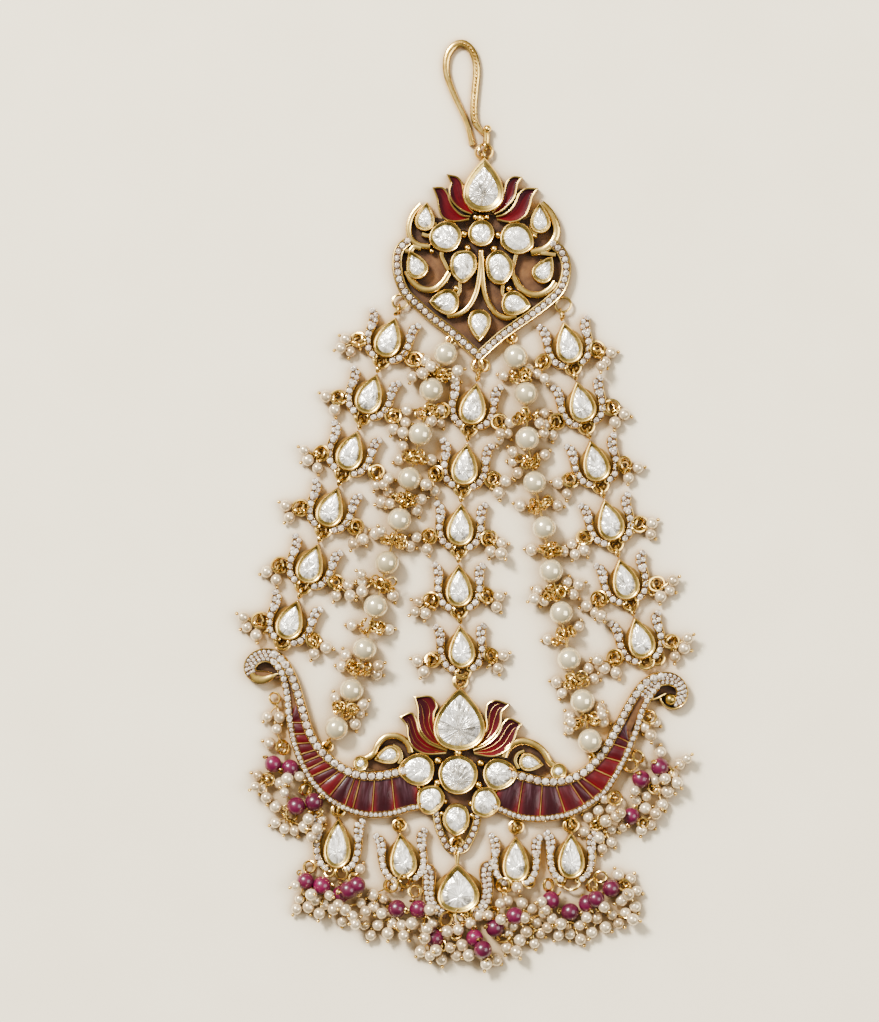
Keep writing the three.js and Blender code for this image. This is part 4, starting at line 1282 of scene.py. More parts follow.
@dataclass
class Link:
    """A winged setting with its ring above and its eye: one link of a strand, or one drop."""

    shop: Workshop
    name: str
    head: tuple
    foot: tuple
    tip_gap: float = 1.7
    foot_gap: float = 1.75
    width: float = 5.2
    wing_reach: float = 1.0
    rows: int = 1
    hangs_below: bool = True
    setting_height: float = 2.3
    longest_bare_gap: float = 2.4
    neck_spread: float = 0.24
    rim: float = 0.5
    insets: tuple = (0.86, 0.98)
    wing_widths: tuple = (1.45, 2.2)
    wing_height: float = 1.8
    wing_points: int = 40
    lane_offsets: tuple = (0.44, 0.52)
    lane_stone: float = 0.5
    stone_height: float = 1.72

    def frame(self) -> tuple[np.ndarray, np.ndarray, float]:
        """Works out the link's own frame.

        Returns:
            Its origin, the matrix to its own plan, and its pitch.
        """
        head, foot = np.array(self.head), np.array(self.foot)
        along = foot - head
        turn = math.degrees(math.atan2(along[0], -along[1]))
        return np.append(head, 0.0), turn_about_z(turn), float(np.linalg.norm(along))

    def wing(self, side: int, length: float, rng: np.random.Generator) -> tuple[list, list]:
        """One wing: a channel that hugs the setting's side and flares out at its upper end.

        Args:
            side: -1 or 1.
            length: the setting's length.
            rng: what varies it.

        Returns:
            The metal and the stones, about the setting's middle.
        """
        jeweller = self.shop.jeweller
        w = self.width * self.wing_reach
        flare = rng.uniform(0.94, 1.06)
        line = np.array([
            (0.3 * w, -0.53 * length), (0.52 * w, -0.46 * length), (0.7 * w, -0.28 * length),
            (0.76 * w, -0.04 * length),
            (0.74 * w, 0.18 * length), (0.76 * w, 0.36 * length),
            ((0.88 + 0.06 * flare) * w, 0.52 * length * flare),
        ]) * [side, 1.0]
        count = self.wing_points
        path = smooth_curve(line, count)
        section, coats = channel_section(self.wing_widths[self.rows - 1], self.wing_height, 0.14, 0.18)
        run = np.linspace(0, 1, count)
        taper = np.interp(run, [0, 0.12, 0.45, 0.7, 0.86, 1], [0.72, 0.95, 1.0, 1.16, 1.3, 0.2])
        metal = [sweep(path, section, coats, widths=taper)]
        stones: list[Shape] = []
        normal = sideways(path, False)
        split = int(count * 0.6) if self.rows == 1 else 2
        if self.rows == 1:
            row = jeweller.pave(path[2 : split + 1], 1.3, 0.64, self.stone_height, rng)
            jeweller.set_row(metal, stones, row)
        offset, radius = self.lane_offsets[self.rows - 1], self.lane_stone
        for way in (-1, 1):
            lane = (path + normal * way * offset * (taper / taper[-9])[:, None])[split + 2 : -2]
            row = jeweller.pave(lane, 2 * radius + 0.06, radius, self.stone_height, rng)
            jeweller.set_row(metal, stones, row, 2)
        return metal, stones

    def build(self, seed: int, nodes: tuple) -> None:
        """Makes the link's pieces.

        Args:
            seed: what its small differences come from.
            nodes: the node that it stands for.
        """
        rng = np.random.default_rng(seed)
        jeweller, crowd = self.shop.jeweller, self.shop.crowd
        origin, matrix, pitch = self.frame()
        length = pitch - self.tip_gap - self.foot_gap
        middle = np.array([0.0, -self.tip_gap - length / 2, 0.0])
        plan = Outline(self.width, length, 1.0, 0.006, rng.uniform(0, 6))
        inset = self.insets[self.rows - 1]
        metal = [jeweller.bezel(plan, self.setting_height, self.rim, inset - self.rim).placed(middle)]
        stones = [
            jeweller.cut_stone(plan, inset - 0.05, self.setting_height - 0.48, 0.45, rng).placed(middle)
        ]
        for side in (-1, 1):
            wing, row = self.wing(side, length, rng)
            metal += [s.placed(middle) for s in wing]
            stones += [s.placed(middle) for s in row]
        # A plate behind the setting and its wings, in the browner gold: painted shade for the gaps between
        # them.
        back = flat_plate(Outline(self.width * 1.25, length * 0.9, 0.3).ring(0, 30), 0.15, 0.9, Coat.WALL)
        metal.append(back.placed(middle - [0, 0.08 * length, 0]))
        wire = jeweller.wire
        metal.append(hoop([0, -0.05, 1.08], 0.85, [1.0, rng.normal(0, 0.12), 0.15], wire * 0.9, 16, 1.1))
        metal.append(hoop([0, -0.75, 1.5], 0.62, [1.0, rng.normal(0, 0.2), 0.5], wire * 0.8, 14, 1.0))
        if self.tip_gap > self.longest_bare_gap:
            for side in (-self.neck_spread, self.neck_spread):
                neck = np.array(
                    [[side * 1.6, -0.3, 1.5], [side, -1.3, 1.75], [side * 0.6, -self.tip_gap - 0.5, 1.9]]
                )
                metal.append(tube(smooth_curve(neck, 10), wire * 0.95, 7, coat=Coat.WIRE))
        if self.hangs_below:
            metal += jeweller.coil(
                np.array([0, -pitch + 1.0, 1.15]), 1.3, [rng.normal(0, 0.08), 0.08, 1.0], wire * 0.95
            )
        metal += self.curls(middle, length, rng)
        self.shop.piece(f"{self.name}_metal", [s.placed(origin, matrix) for s in metal], Slot.GOLD, nodes)
        self.shop.piece(f"{self.name}_stones", [s.placed(origin, matrix) for s in stones], Slot.GLASS)
        for x, y, r in LINK_BODY:
            spot = matrix @ (middle + [x, y, 0]) + origin
            crowd.add(spot[0], spot[1], 1.2, r)

    def curls(self, middle: np.ndarray, length: float, rng: np.random.Generator) -> list[Shape]:
        """Small wire curls between the wings at the setting's foot.

        Args:
            middle: the setting's middle.
            length: the setting's length.
            rng: what varies them.

        Returns:
            The curls.
        """
        made = []
        for side in (-1, 1):
            at = middle + [side * rng.uniform(1.2, 1.7), -length / 2 - 0.2, 1.5]
            made.append(hoop(at, rng.uniform(0.42, 0.55), [rng.normal(0, 0.3), 0.2, 1.0], 0.17, 12))
        return made


@dataclass
class SideRings:
    """The rings at a link's sides, each with its seed pearls on pins."""

    shop: Workshop
    name: str
    head: tuple
    foot: tuple
    spread: float = 5.5
    drop: float = 0.7
    ring_radius: float = 1.3
    ring_wire: float = 0.27
    seed_reach: float = 1.7

    def build(self, seed: int) -> None:
        """Makes the rings and the seed pearls.

        Args:
            seed: what their small differences come from.
        """
        rng = np.random.default_rng(seed)
        head, foot = np.array(self.head), np.array(self.foot)
        along = unit(foot - head)
        across = np.array([-along[1], along[0]])
        wires: list[Shape] = []
        pearls: list[Shape] = []
        for side in (-1, 1):
            down = self.drop + rng.normal(0, 0.02)
            spot = head + (foot - head) * down + across * side * (self.spread + rng.normal(0, 0.2))
            centre = np.append(spot, 1.35)
            normal = [side * rng.uniform(-0.2, 0.7), rng.normal(0, 0.25), 1.0]
            radius = self.ring_radius * rng.uniform(1.0, 1.12)
            wires += self.shop.jeweller.coil(centre, radius, normal, self.ring_wire)
            leaning = [side * rng.uniform(0.6, 1.4), rng.normal(0, 0.4), 0.8]
            wires.append(hoop(centre - [0, 0, 0.3], self.ring_radius * 0.8, leaning, 0.22, 16))
            tangle = spot + rng.normal(0, 0.6, 2) - [0, 0.9]
            wires.append(hoop(np.append(tangle, 1.7), 0.62, rng.normal(0, 1, 3) + [0, 0, 0.5], 0.2, 12))
            inner = head + (foot - head) * (self.drop - 0.03) + across * side * (self.spread - 1.6)
            wires.append(hoop(np.append(inner, 1.4), 0.6, [0.9, rng.normal(0, 0.5), 0.4], 0.2, 12))
            out = math.degrees(math.atan2(*(across * side + [0.0, -0.9])[::-1]))
            for k in range(int(rng.integers(2, 4))):
                start = np.append(spot + 0.9 * self.ring_radius * unit(across * side + [0.0, -1.0]), 1.3)
                ways = [out + d for d in (rng.permutation([-60, -35, -10, 15, 40, 65]) * 1.0)]
                radius = self.shop.jeweller.seed_radius * rng.uniform(0.92, 1.1)
                rest = self.shop.crowd.settle(start, ways, self.seed_reach, radius)
                made, pearl = self.shop.jeweller.seed_on_pin(
                    start, rest - start, float(np.linalg.norm(rest - start)), radius, rng.uniform(0, 20)
                )
                wires += made
                pearls += pearl
        self.shop.piece(f"{self.name}_rings", wires, Slot.GOLD)
        self.shop.piece(f"{self.name}_seeds", pearls, Slot.PEARL)


@dataclass(frozen=True)
class StrandPlan:
    """A strand of links: its name, how many links, the eyes at its ends and its bow."""

    name: str
    links: int
    top: tuple
    foot: tuple
    bow: float

    def eyes(self) -> np.ndarray:
        """The eyes of the links, evenly spaced along the bowed route.

        Returns:
            One row for each eye.
        """
        top, foot = np.array(self.top), np.array(self.foot)
        chord = foot - top
        off = unit(np.array([chord[1], -chord[0]])) * -2 * self.bow
        middle = (top + foot) / 2 + off
        t = np.linspace(0, 1, 200)[:, None]
        return resampled((1 - t) ** 2 * top + 2 * t * (1 - t) * middle + t**2 * foot, self.links + 1)


STRANDS = (
    StrandPlan("left", 6, (-12.27, 36.73), (-34.57, -27.69), 0.3),
    StrandPlan("centre", 5, (2.91, 24.36), (0.04, -33.24), -2.1),
    StrandPlan("right", 6, (18.73, 35.92), (35.05, -31.34), -0.5),
)


# Pearl strings


@dataclass
class PearlString:
    """A string of large pearls with knots of wire loops and seed pearls between them."""

    shop: Workshop
    side: str
    pixels: tuple
    head: tuple
    end: tuple
    radius: float = 2.3
    wire: float = 0.2
    loops: int = 15
    seed_reach: float = 1.7

    def build(self, seed: int) -> None:
        """Makes the string.

        Args:
            seed: what its small differences come from.
        """
        rng = np.random.default_rng(seed)
        photo, jeweller, crowd = self.shop.photo, self.shop.jeweller, self.shop.crowd
        centres = np.column_stack([photo.at(*self.pixels), np.full(len(self.pixels), self.radius)])
        first = np.append(photo.at(self.head)[0], 1.1)
        last = np.append(photo.at(self.end)[0], 1.1)
        stops = np.vstack([first, centres, last])
        pearls = []
        for k, centre in enumerate(centres):
            way = stops[k + 2] - stops[k]
            size = self.radius * rng.uniform(0.97, 1.03)
            centre[2] = size
            pearls.append(jeweller.pearl.placed(centre, aim(way) * size, seed=rng.uniform(0, 20)))
            crowd.add(*centre, size)
        wires = []
        for start, stop in zip(stops[:-1], stops[1:]):
            wires.append(tube(np.array([start, stop]), self.wire, 6))
        seeds: list[Shape] = []
        for k in range(len(centres) - 1):
            knot, beads = self.knot(centres[k], centres[k + 1], rng)
            wires += knot
            seeds += beads
        for at, way in ((first, centres[0] - first), (last, last - centres[-1])):
            wires.append(hoop(at, 0.85, np.cross(way, UP) + [0, 0, 0.6], 0.24, 16))
        wires.append(hoop((first + centres[0]) / 2, 0.45, centres[0] - first, self.wire, 12))
        self.shop.piece(
            f"{self.side}_pearl_string_pearls", pearls, Slot.PEARL, (f"{self.side}_pearl_string",)
        )
        self.shop.piece(f"{self.side}_pearl_string_wires", wires, Slot.GOLD)
        self.shop.piece(f"{self.side}_pearl_string_seeds", seeds, Slot.PEARL)

    def knot(self, above: np.ndarray, below: np.ndarray, rng: np.random.Generator) -> tuple[list, list]:
        """The wire loops and seed pearls between two large pearls.

        Args:
            above: the middle of the pearl above.
            below: the middle of the pearl below.
            rng: what tangles them.

        Returns:
            The wires and the seed pearls.
        """
        crowd, jeweller = self.shop.crowd, self.shop.jeweller
        middle = (above + below) / 2
        along = unit((below - above)[:2])
        across = np.array([-along[1], along[0]])
        wires = []
        for _ in range(self.loops):
            spot = middle[:2] + across * rng.uniform(-2.1, 2.1) + along * rng.uniform(-1.0, 1.0)
            centre = np.append(spot, rng.uniform(1.3, 3.2))
            normal = rng.normal(0, 0.8, 3) + [0, 0, 0.7]
            wires.append(hoop(centre, rng.uniform(0.6, 0.95), normal, self.wire, 12, rng.uniform(0.8, 1.2)))
        seeds = []
        for side in (-1, 1):
            for _ in range(int(rng.integers(1, 4))):
                start = np.append(middle[:2] + across * side * rng.uniform(1.2, 2.0), 1.6)
                out = math.degrees(math.atan2(across[1] * side, across[0] * side))
                ways = [out + d for d in rng.uniform(-60, 60, 5)]
                radius = jeweller.seed_radius * rng.uniform(0.92, 1.1)
                rest = crowd.settle(start, ways, self.seed_reach, radius)
                made, pearl = jeweller.seed_on_pin(
                    start, rest - start, float(np.linalg.norm(rest - start)), radius, rng.uniform(0, 20)
                )
                wires += made
                seeds += pearl
        return wires, seeds


PEARL_STRINGS = (
    ("left",
     ((445.5, 354), (431.5, 390), (420.5, 434.5), (409.6, 479), (399.5, 520), (387, 563), (375.7, 606.6),
      (364.8, 649), (352, 690), (336.8, 728)),
     (451, 340),
     (327.5, 742)),
    ("right",
     ((515.6, 357), (526, 394), (527.4, 439), (534.4, 483), (544, 528), (551, 571), (561, 613),
      (568.7, 659), (582, 701), (589.4, 740.4)),
     (512, 339),
     (593.0, 756)),
)


# The crescent


CRESCENT_SETTINGS = (
    Setting("crescent_top_stone", 459.3, 719.0, 52.5, 63.0, 0.9, -1.0, 5.0, 0.0, 2.6),
    Setting("crescent_round_stone", 458.0, 774.1, 39.8, 39.8, 0.0, 0.0, 4.2, 0.006, 2.5),
    Setting("crescent_side_stone_left", 416.3, 769.3, 33.0, 37.2, 0.35, 92.0, 4.4, 0.01),
    Setting("crescent_side_stone_right", 500.0, 773.8, 32.0, 35.2, 0.3, -92.0, 4.4, 0.01),
    Setting("crescent_lower_stone_left", 430.4, 798.8, 28.4, 30.5, 0.1, 150.0, 4.0, 0.03),
    Setting("crescent_lower_stone_right", 485.2, 801.8, 29.4, 31.0, 0.05, 170.0, 4.0, 0.035),
    Setting("crescent_foot_stone", 456.3, 819.2, 27.8, 33.2, 0.35, 180.0, 4.0, 0.02),
    Setting("", 531.2, 762.2, 19.0, 25.5, 0.9, -100.0, 3.6, 0.0, 2.1),
    Setting("", 386.8, 755.4, 19.0, 26.5, 0.9, 108.0, 3.6, 0.0, 2.1),
    Setting("", 558.3, 771.0, 17.0, 17.0, 0.0, 0.0, 4.6, 0.0, 2.1),
    Setting("", 361.0, 763.0, 15.5, 15.5, 0.0, 0.0, 4.2, 0.0, 2.1),
)
CRESCENT_PETALS = (
    Petal("crescent_inner_petal_left",
        ((447.5, 748.5), (431, 741.5), (421.5, 731.5), (418.0, 720.5), (417.8, 709.5), (414.8, 697.2)),
        ((450.5, 746.0), (440.5, 738.6), (434.6, 727.5), (433.4, 714.6), (436.4, 705.6), (430.6, 696.4),
         (414.8, 697.2))),
    Petal("crescent_outer_petal_left",
        ((446, 752.8), (425.3, 753.2), (413.2, 746.6), (408, 736), (406.6, 725), (400.4, 717.0)),
        ((447, 750.2), (429.6, 743.2), (419.6, 732.6), (416.0, 720.6), (411.6, 712.8), (400.4, 717.0))),
    Petal("crescent_inner_petal_right",
        ((470.5, 745.6), (480.2, 738.4), (486.4, 726.6), (485.4, 713.6), (487.4, 704.8), (495.6, 700.2),
         (508.4, 704.4)),
        ((472.2, 748.4), (484.6, 742.8), (495.0, 733.4), (500.0, 722.0), (501.0, 712.6), (508.4, 704.4))),
    Petal("crescent_outer_petal_right",
        ((473.6, 750.0), (486.2, 744.8), (497.0, 735.4), (502.6, 724.0), (509.4, 718.4), (520.8, 723.8)),
        ((474.0, 753.2), (493.0, 755.8), (507.2, 749.4), (513.0, 740.2), (516.2, 731.4), (520.8, 723.8))),
)
# Each horn by its inner and its outer edge, from the middle out to where its curl begins.
HORN_EDGES = {
    "left": (((410, 763.5), (396, 767.5), (377, 771.0), (359, 770.2), (341, 762.4), (325.6, 750),
              (316, 738), (309.6, 725), (305.8, 711), (301.6, 696), (297.2, 681.4), (291.4, 668.4),
              (284.0, 656.6), (274.4, 649.6)),
             ((424, 808.4), (411, 810.6), (395, 815.2), (372, 817.4), (349, 812.2), (328, 800.6),
              (311, 782.6), (300, 762.6), (292.6, 742), (288.6, 720.6), (286.8, 702), (284.6, 686.6),
              (281.0, 675.0), (274.5, 666.0))),
    "right": (((508, 768), (521, 771), (545, 776.6), (566, 775.4), (585, 766.4), (601.4, 749.4),
               (613.4, 728.6), (620, 716), (630, 697.4), (642, 681), (652.6, 674.2), (662, 671.6)),
              ((490, 808), (500, 812), (516, 818.6), (533, 821.2), (552, 820), (570, 816), (588, 807),
               (603, 795.6), (614, 780.6), (623.4, 763.6), (631.6, 745.4), (636.6, 732), (642.0, 713.4),
               (648.4, 700.4), (656.0, 690.0))),
}
CURLS = {
    "left": ((284, 666), (275.4, 657.4), (265.0, 655.2), (255.4, 658.6), (250.2, 666.4), (252.6, 674.2),
             (260.4, 676.6), (269.6, 675.8), (279.4, 676.8)),
    "right": ((640, 697), (649.0, 686.0), (658.4, 679.8), (668.4, 678.6), (677.4, 682.6), (681.6, 690.6),
              (680.0, 698.6), (674.6, 703.0), (668.4, 701.4)),
}
CURL_PLATES = {
    "left": ((262, 662), (272, 661), (280, 668), (281, 675), (270, 677), (258, 674), (256, 667)),
    "right": ((648, 692), (660, 684), (672, 684), (682, 692), (681, 702), (672, 707), (662, 702),
              (656, 700), (649, 702)),
}
CURL_RIM = ((685.4, 690), (685.6, 698), (681.6, 705), (674, 708.6), (666, 706.6), (661, 701.6), (659.6, 698))
CRESCENT_BALLS = (
    (437.4, 782.4, 0.8), (478.4, 784.4, 0.8), (437.8, 760.2, 0.8), (480.4, 762.6, 0.8),
    (444.6, 800.6, 0.6), (471.0, 803.0, 0.6), (458, 752.4, 0.9), (442, 813, 0.6), (471.8, 815, 0.6),
    (418.6, 787, 0.5), (496, 789.6, 0.5),
)
CRESCENT_EYES = (
    (338.6, 809.5, 1.15), (399.4, 824.6, 1.1), (456.4, 842.6, 1.1), (515.9, 826.4, 1.2),
    (570.6, 824.6, 1.25), (460.2, 681.4, 1.2), (281.5, 640.5, 1.2), (657.0, 658.5, 1.2),
    (327.5, 746.5, 0.9), (594.4, 758.0, 0.9),
)
SCROLLS = (
    ((504, 756.6), (506.6, 750.2), (513, 743.6), (524, 740.8), (535.6, 744.6), (544, 752), (549, 761),
     (553.5, 764.8)),
    ((518, 768), (515.0, 760), (518, 753.4), (524, 750.6)),
    ((411, 752), (408.6, 744.6), (403, 738.4), (395, 735.4), (385, 737.2), (378, 744.4), (373, 754),
     (366, 758)),
    ((399, 763), (401.6, 756), (399, 748.4), (393, 745.0)),
)
SCROLL_PLATES = (
    ((506, 757), (508, 749), (515, 744), (527, 744), (537, 749), (546, 760), (552, 768), (540, 775),
     (522, 772), (510, 768)),
    ((409, 760), (407, 746), (400, 739), (388, 738), (379, 747), (372, 758), (366, 766), (380, 770),
     (398, 767)),
)
# For each horn: where its inlay ends, then the inset, pitch and radius of the outer stones beyond that.
HORN_INLAY_ENDS = {"left": (297.4, 706.0), "right": (627.6, 728.0)}
HORN_TOP_STONES = {"left": (0.75, 1.32, 0.62), "right": (0.66, 1.14, 0.53)}


@dataclass(frozen=True)
class CellLine:
    """A golden line across a horn, from the inner stones to the outer ones, and the redness beyond it."""

    inner: tuple
    outer: tuple
    red: float


CELL_LINES = {
    "left": (
        CellLine((416, 772), (420, 804), 0.08),
        CellLine((392.8, 779.6), (394.9, 808.0), 0.1),
        CellLine((375.2, 780.4), (373.1, 809.4), 0.14),
        CellLine((360.0, 778.6), (354.0, 806.0), 0.75),
        CellLine((354.4, 777.5), (346.6, 803.2), 0.12),
        CellLine((345.5, 775.5), (331.5, 793), 0.9),
        CellLine((338.4, 772), (321.9, 783), 0.3),
        CellLine((332.4, 768), (315.9, 774), 0.95),
        CellLine((324.2, 762), (309, 767.5), 0.6),
        CellLine((318.7, 756), (305, 761), 0.55),
        CellLine((314.6, 750), (301.5, 753.6), 0.5),
        CellLine((310.3, 742), (298.4, 742.7), 0.85),
        CellLine((306.7, 734), (294.5, 734), 0.4),
        CellLine((302.8, 723), (292.6, 722.3), 0.3),
    ),
    "right": (
        CellLine((500, 776), (492, 804), 0.08),
        CellLine((521.9, 783.0), (517.3, 811.3), 0.1),
        CellLine((540.9, 787.5), (540.1, 814.6), 0.12),
        CellLine((556.3, 786.2), (564.6, 812.2), 0.45),
        CellLine((571.2, 784.6), (582.9, 802.6), 0.15),
        CellLine((578.3, 782.6), (591.4, 795.4), 0.4),
        CellLine((583.4, 779.0), (600.2, 789.4), 0.85),
        CellLine((595.2, 771.6), (611.0, 776.2), 0.8),
        CellLine((607.6, 759.8), (619.7, 761.0), 0.45),
        CellLine((616.0, 746.3), (625.7, 747.0), 0.2),
        CellLine((622.0, 739.6), (627.4, 739.0), 0.08),
    ),
}


@dataclass
class Crescent:
    """The crescent: two enamelled horns with stone-set edges round a cluster of settings and a lotus."""

    shop: Workshop
    height: float = 2.05
    inner_band: float = 1.72
    outer_band: float = 1.25
    vault: float = 0.34
    inner_stones: tuple = (1.5, 0.74)
    outer_stones: tuple = (0.92, 0.44)
    curl_stones: tuple = (0.86, 0.37)
    curl_width: float = 2.7
    curl_lane: float = 0.72
    ball_height: float = 1.5
    horn_points: int = 150
    enamel_sink: float = 0.42
    scroll_widths: tuple = (1.25, 0.7, 1.15, 0.7)
    scroll_height: float = 1.95

    def build(self) -> None:
        """Makes the crescent."""
        rng = np.random.default_rng(31)
        photo, jeweller = self.shop.photo, self.shop.jeweller
        metal = Lotus(self.shop, "crescent", CRESCENT_PETALS, 2.2, 0.32, (0.36, 0.7)).build(rng)
        small: list[Shape] = []
        for setting in CRESCENT_SETTINGS:
            wall, stone = self.shop.set_stone(setting, rng)
            metal += wall
            if setting.node:
                self.shop.piece(f"{setting.node}_cut", stone, Slot.GLASS, (setting.node,))
            else:
                small += stone
        parts = [part(side, rng) for side in ("left", "right") for part in (self.horn, self.curl)]
        for frame, stones in [*parts, self.bib(rng)]:
            metal += frame
            small += stones
        metal += self.scrolls()
        metal += self.eyes()
        # A dark plate behind the middle settings: painted shade.
        plate = photo.at(
            (458, 744), (420, 752), (404, 772), (428, 800), (448, 822), (464, 824), (486, 800),
            (510, 776), (496, 756)
        )
        metal.append(flat_plate(smooth_curve(plate, 40, closed=True), 0.0, 0.6))
        for x, y, radius in CRESCENT_BALLS:
            metal.append(ball(radius, 12, 7, Coat.GOLD).placed([*photo.at((x, y))[0], self.ball_height]))
        self.shop.piece("crescent_metal", metal, Slot.GOLD, ("crescent_frame",))
        self.shop.piece("crescent_small_stones", small, Slot.GLASS)

    def horn(self, side: str, rng: np.random.Generator) -> tuple[list, list]:
        """One horn: its body, its two rows of stones and the lines between its enamel cells.

        Args:
            side: left or right.
            rng: what varies it.

        Returns:
            The metal and the stones. The enamel becomes a piece of its own.
        """
        photo, jeweller = self.shop.photo, self.shop.jeweller
        inner, outer = (smooth_curve(photo.at(*edge), self.horn_points) for edge in HORN_EDGES[side])
        right, left = (outer, inner) if side == "right" else (inner, outer)
        width = np.linalg.norm(inner - outer, axis=1)
        way = (inner - outer) / width[:, None]
        top = self.height
        # The body's top, seen in the gaps between rows and cells, is in the dark recess gold: painted shade.
        body = [(0, 0, 0), (0, 0, top - 0.5), (1, 0, top - 0.5), (1, 0, 0)]
        metal = [ribbon(left, right, body, [Coat.WALL, Coat.SHADED_RECESS, Coat.WALL, Coat.WALL])]
        stones: list[Shape] = []
        inner_line = inner - way * self.inner_band / 2
        outer_line = outer + way * self.outer_band / 2
        metal.append(sweep(inner_line, *channel_section(self.inner_band, top + 0.1, 0.14)))
        metal.append(sweep(outer_line, *channel_section(self.outer_band, top + 0.02, 0.12, 0.14)))
        jeweller.set_row(metal, stones, jeweller.pave(inner_line[6:], *self.inner_stones, top, rng))
        ending = photo.at(HORN_INLAY_ENDS[side])[0]
        last = int(np.argmin(np.linalg.norm((inner + outer) / 2 - ending, axis=1)))
        inset, pitch, radius = HORN_TOP_STONES[side]
        for line, pitch, radius in (
            (outer_line[: last + 1], *self.outer_stones), ((outer + way * inset)[last + 1 :], pitch, radius)
        ):
            jeweller.set_row(metal, stones, jeweller.pave(line, pitch, radius, top - 0.02, rng))
        near = (outer + way * self.outer_band)[: last + 1]
        far = (inner - way * self.inner_band)[: last + 1]
        metal += self.cells(side, near, far)
        filler = ((outer_line + inner_line) / 2)[last:]
        if len(filler) > 3:
            metal.append(sweep(filler, *channel_section(1.4, top - 0.15, 0.02)))
        return metal, stones

    def cells(self, side: str, near: np.ndarray, far: np.ndarray) -> list[Shape]:
        """The vaulted enamel cells between two lines, as a piece, and the golden lines that part them.

        Args:
            side: left or right.
            near: the line beside the outer row of stones.
            far: the line beside the inner row.

        Returns:
            The golden lines.
        """
        rows = np.arange(len(near))

        def nearest(line: np.ndarray, pixel: tuple) -> float:
            """The place of a pixel along a line, as a row number."""
            return float(np.argmin(np.linalg.norm(line - self.shop.photo.at(pixel)[0], axis=1)))

        marks = CELL_LINES[side]
        starts = [(nearest(far, m.inner), nearest(near, m.outer)) for m in marks] + [(rows[-1], rows[-1])]
        patches, lines = [], []
        share = np.linspace(0, 1, 9)
        phase = np.linspace(0, 1, 11)
        for k, mark in enumerate(marks):
            inner_rows = starts[k][0] + (starts[k + 1][0] - starts[k][0]) * phase
            outer_rows = starts[k][1] + (starts[k + 1][1] - starts[k][1]) * phase
            top = np.stack([np.interp(inner_rows, rows, far[:, c]) for c in (0, 1)], 1)
            foot = np.stack([np.interp(outer_rows, rows, near[:, c]) for c in (0, 1)], 1)
            grid = np.empty((len(phase), len(share) + 2, 3))
            grid[:, 1:-1, :2] = foot[:, None] + (top - foot)[:, None] * share[None, :, None]
            breadth = min(1.0, float(np.linalg.norm((top[-1] + foot[-1] - top[0] - foot[0]) / 2)) / 2.4)
            dome = np.sin(phase * np.pi)[:, None] * np.sqrt(
                np.sin(np.clip(share, 0.06, 0.94) * np.pi)
            )[None, :]
            grid[:, 1:-1, 2] = self.height - self.enamel_sink + self.vault * breadth * dome
            grid[:, 0, :2], grid[:, -1, :2] = foot, top
            grid[:, [0, -1], 2] = self.height - 0.8
            local = np.empty_like(grid)
            local[:, 1:-1, 0] = phase[:, None]
            local[:, 1:-1, 1] = share[None, :]
            local[:, [0, -1]] = local[:, [1, -2]]
            local[:, :, 2] = mark.red
            patches.append(skin(grid, Coat.ENAMEL, flip=side == "left").marked(local.reshape(-1, 3)))
            if k:
                ends = np.stack([foot[0], (foot[0] + top[0]) / 2, top[0]])
                path = np.column_stack([ends, np.full(3, self.height - 0.16)])
                lines.append(tube(path, 0.15 if mark.red > 0.3 else 0.11, 6, coat=Coat.WALL))
        self.shop.piece(f"crescent_inlay_{side}_fill", patches, Slot.ENAMEL, (f"crescent_inlay_{side}",))
        return lines

    def curl(self, side: str, rng: np.random.Generator) -> tuple[list, list]:
        """The curled end of a horn, set with small stones.

        Args:
            side: left or right.
            rng: what varies it.

        Returns:
            The metal and the stones.
        """
        photo, jeweller = self.shop.photo, self.shop.jeweller
        path = smooth_curve(photo.at(*CURLS[side]), 70)
        t = np.linspace(0, 1, 70)
        widths = np.interp(t, [0, 0.15, 0.5, 0.65, 0.8, 1], [1.0, 1.0, 0.92, 0.8, 0.85, 0.12])
        section, coats = channel_section(self.curl_width, self.height + 0.06, 0.2)
        metal = [sweep(path, section, coats, widths=widths)]
        stones: list[Shape] = []
        normal = sideways(path, False)
        for offset in (-self.curl_lane, 0.0, self.curl_lane):
            line = (path + normal * offset * widths[:, None])[3 : 44 if side == "left" else -6]
            row = jeweller.pave(line, *self.curl_stones, self.height - 0.06, rng)
            jeweller.set_row(metal, stones, row, 2)
        # A dark plate inside the curl: painted shade.
        metal.append(flat_plate(smooth_curve(photo.at(*CURL_PLATES[side]), 30, closed=True), 0.0, 0.5))
        if side == "right":
            spot = photo.at((670.1, 699.2))[0]
            metal.append(ball(1.15, 18, 10, Coat.BEVEL).placed([*spot, 1.6]))
            section, coats = bar_section(0.42, 1.9)
            for line in (((645, 706), (648, 700.8), (656, 698.4), (665.4, 693.6)), CURL_RIM):
                metal.append(sweep(smooth_curve(photo.at(*line), 30), section, coats))
        else:
            section, coats = bar_section(1.7, 2.15)
            leaf = smooth_curve(
                photo.at((251.6, 673), (256.4, 678.6), (264, 679.6), (272, 676.6), (278, 673.6)), 24
            )
            widths = np.interp(np.linspace(0, 1, 24), [0, 0.3, 0.8, 1], [0.6, 1.0, 0.6, 0.15])
            metal.append(sweep(leaf, section, coats, widths=widths))
        return metal, stones

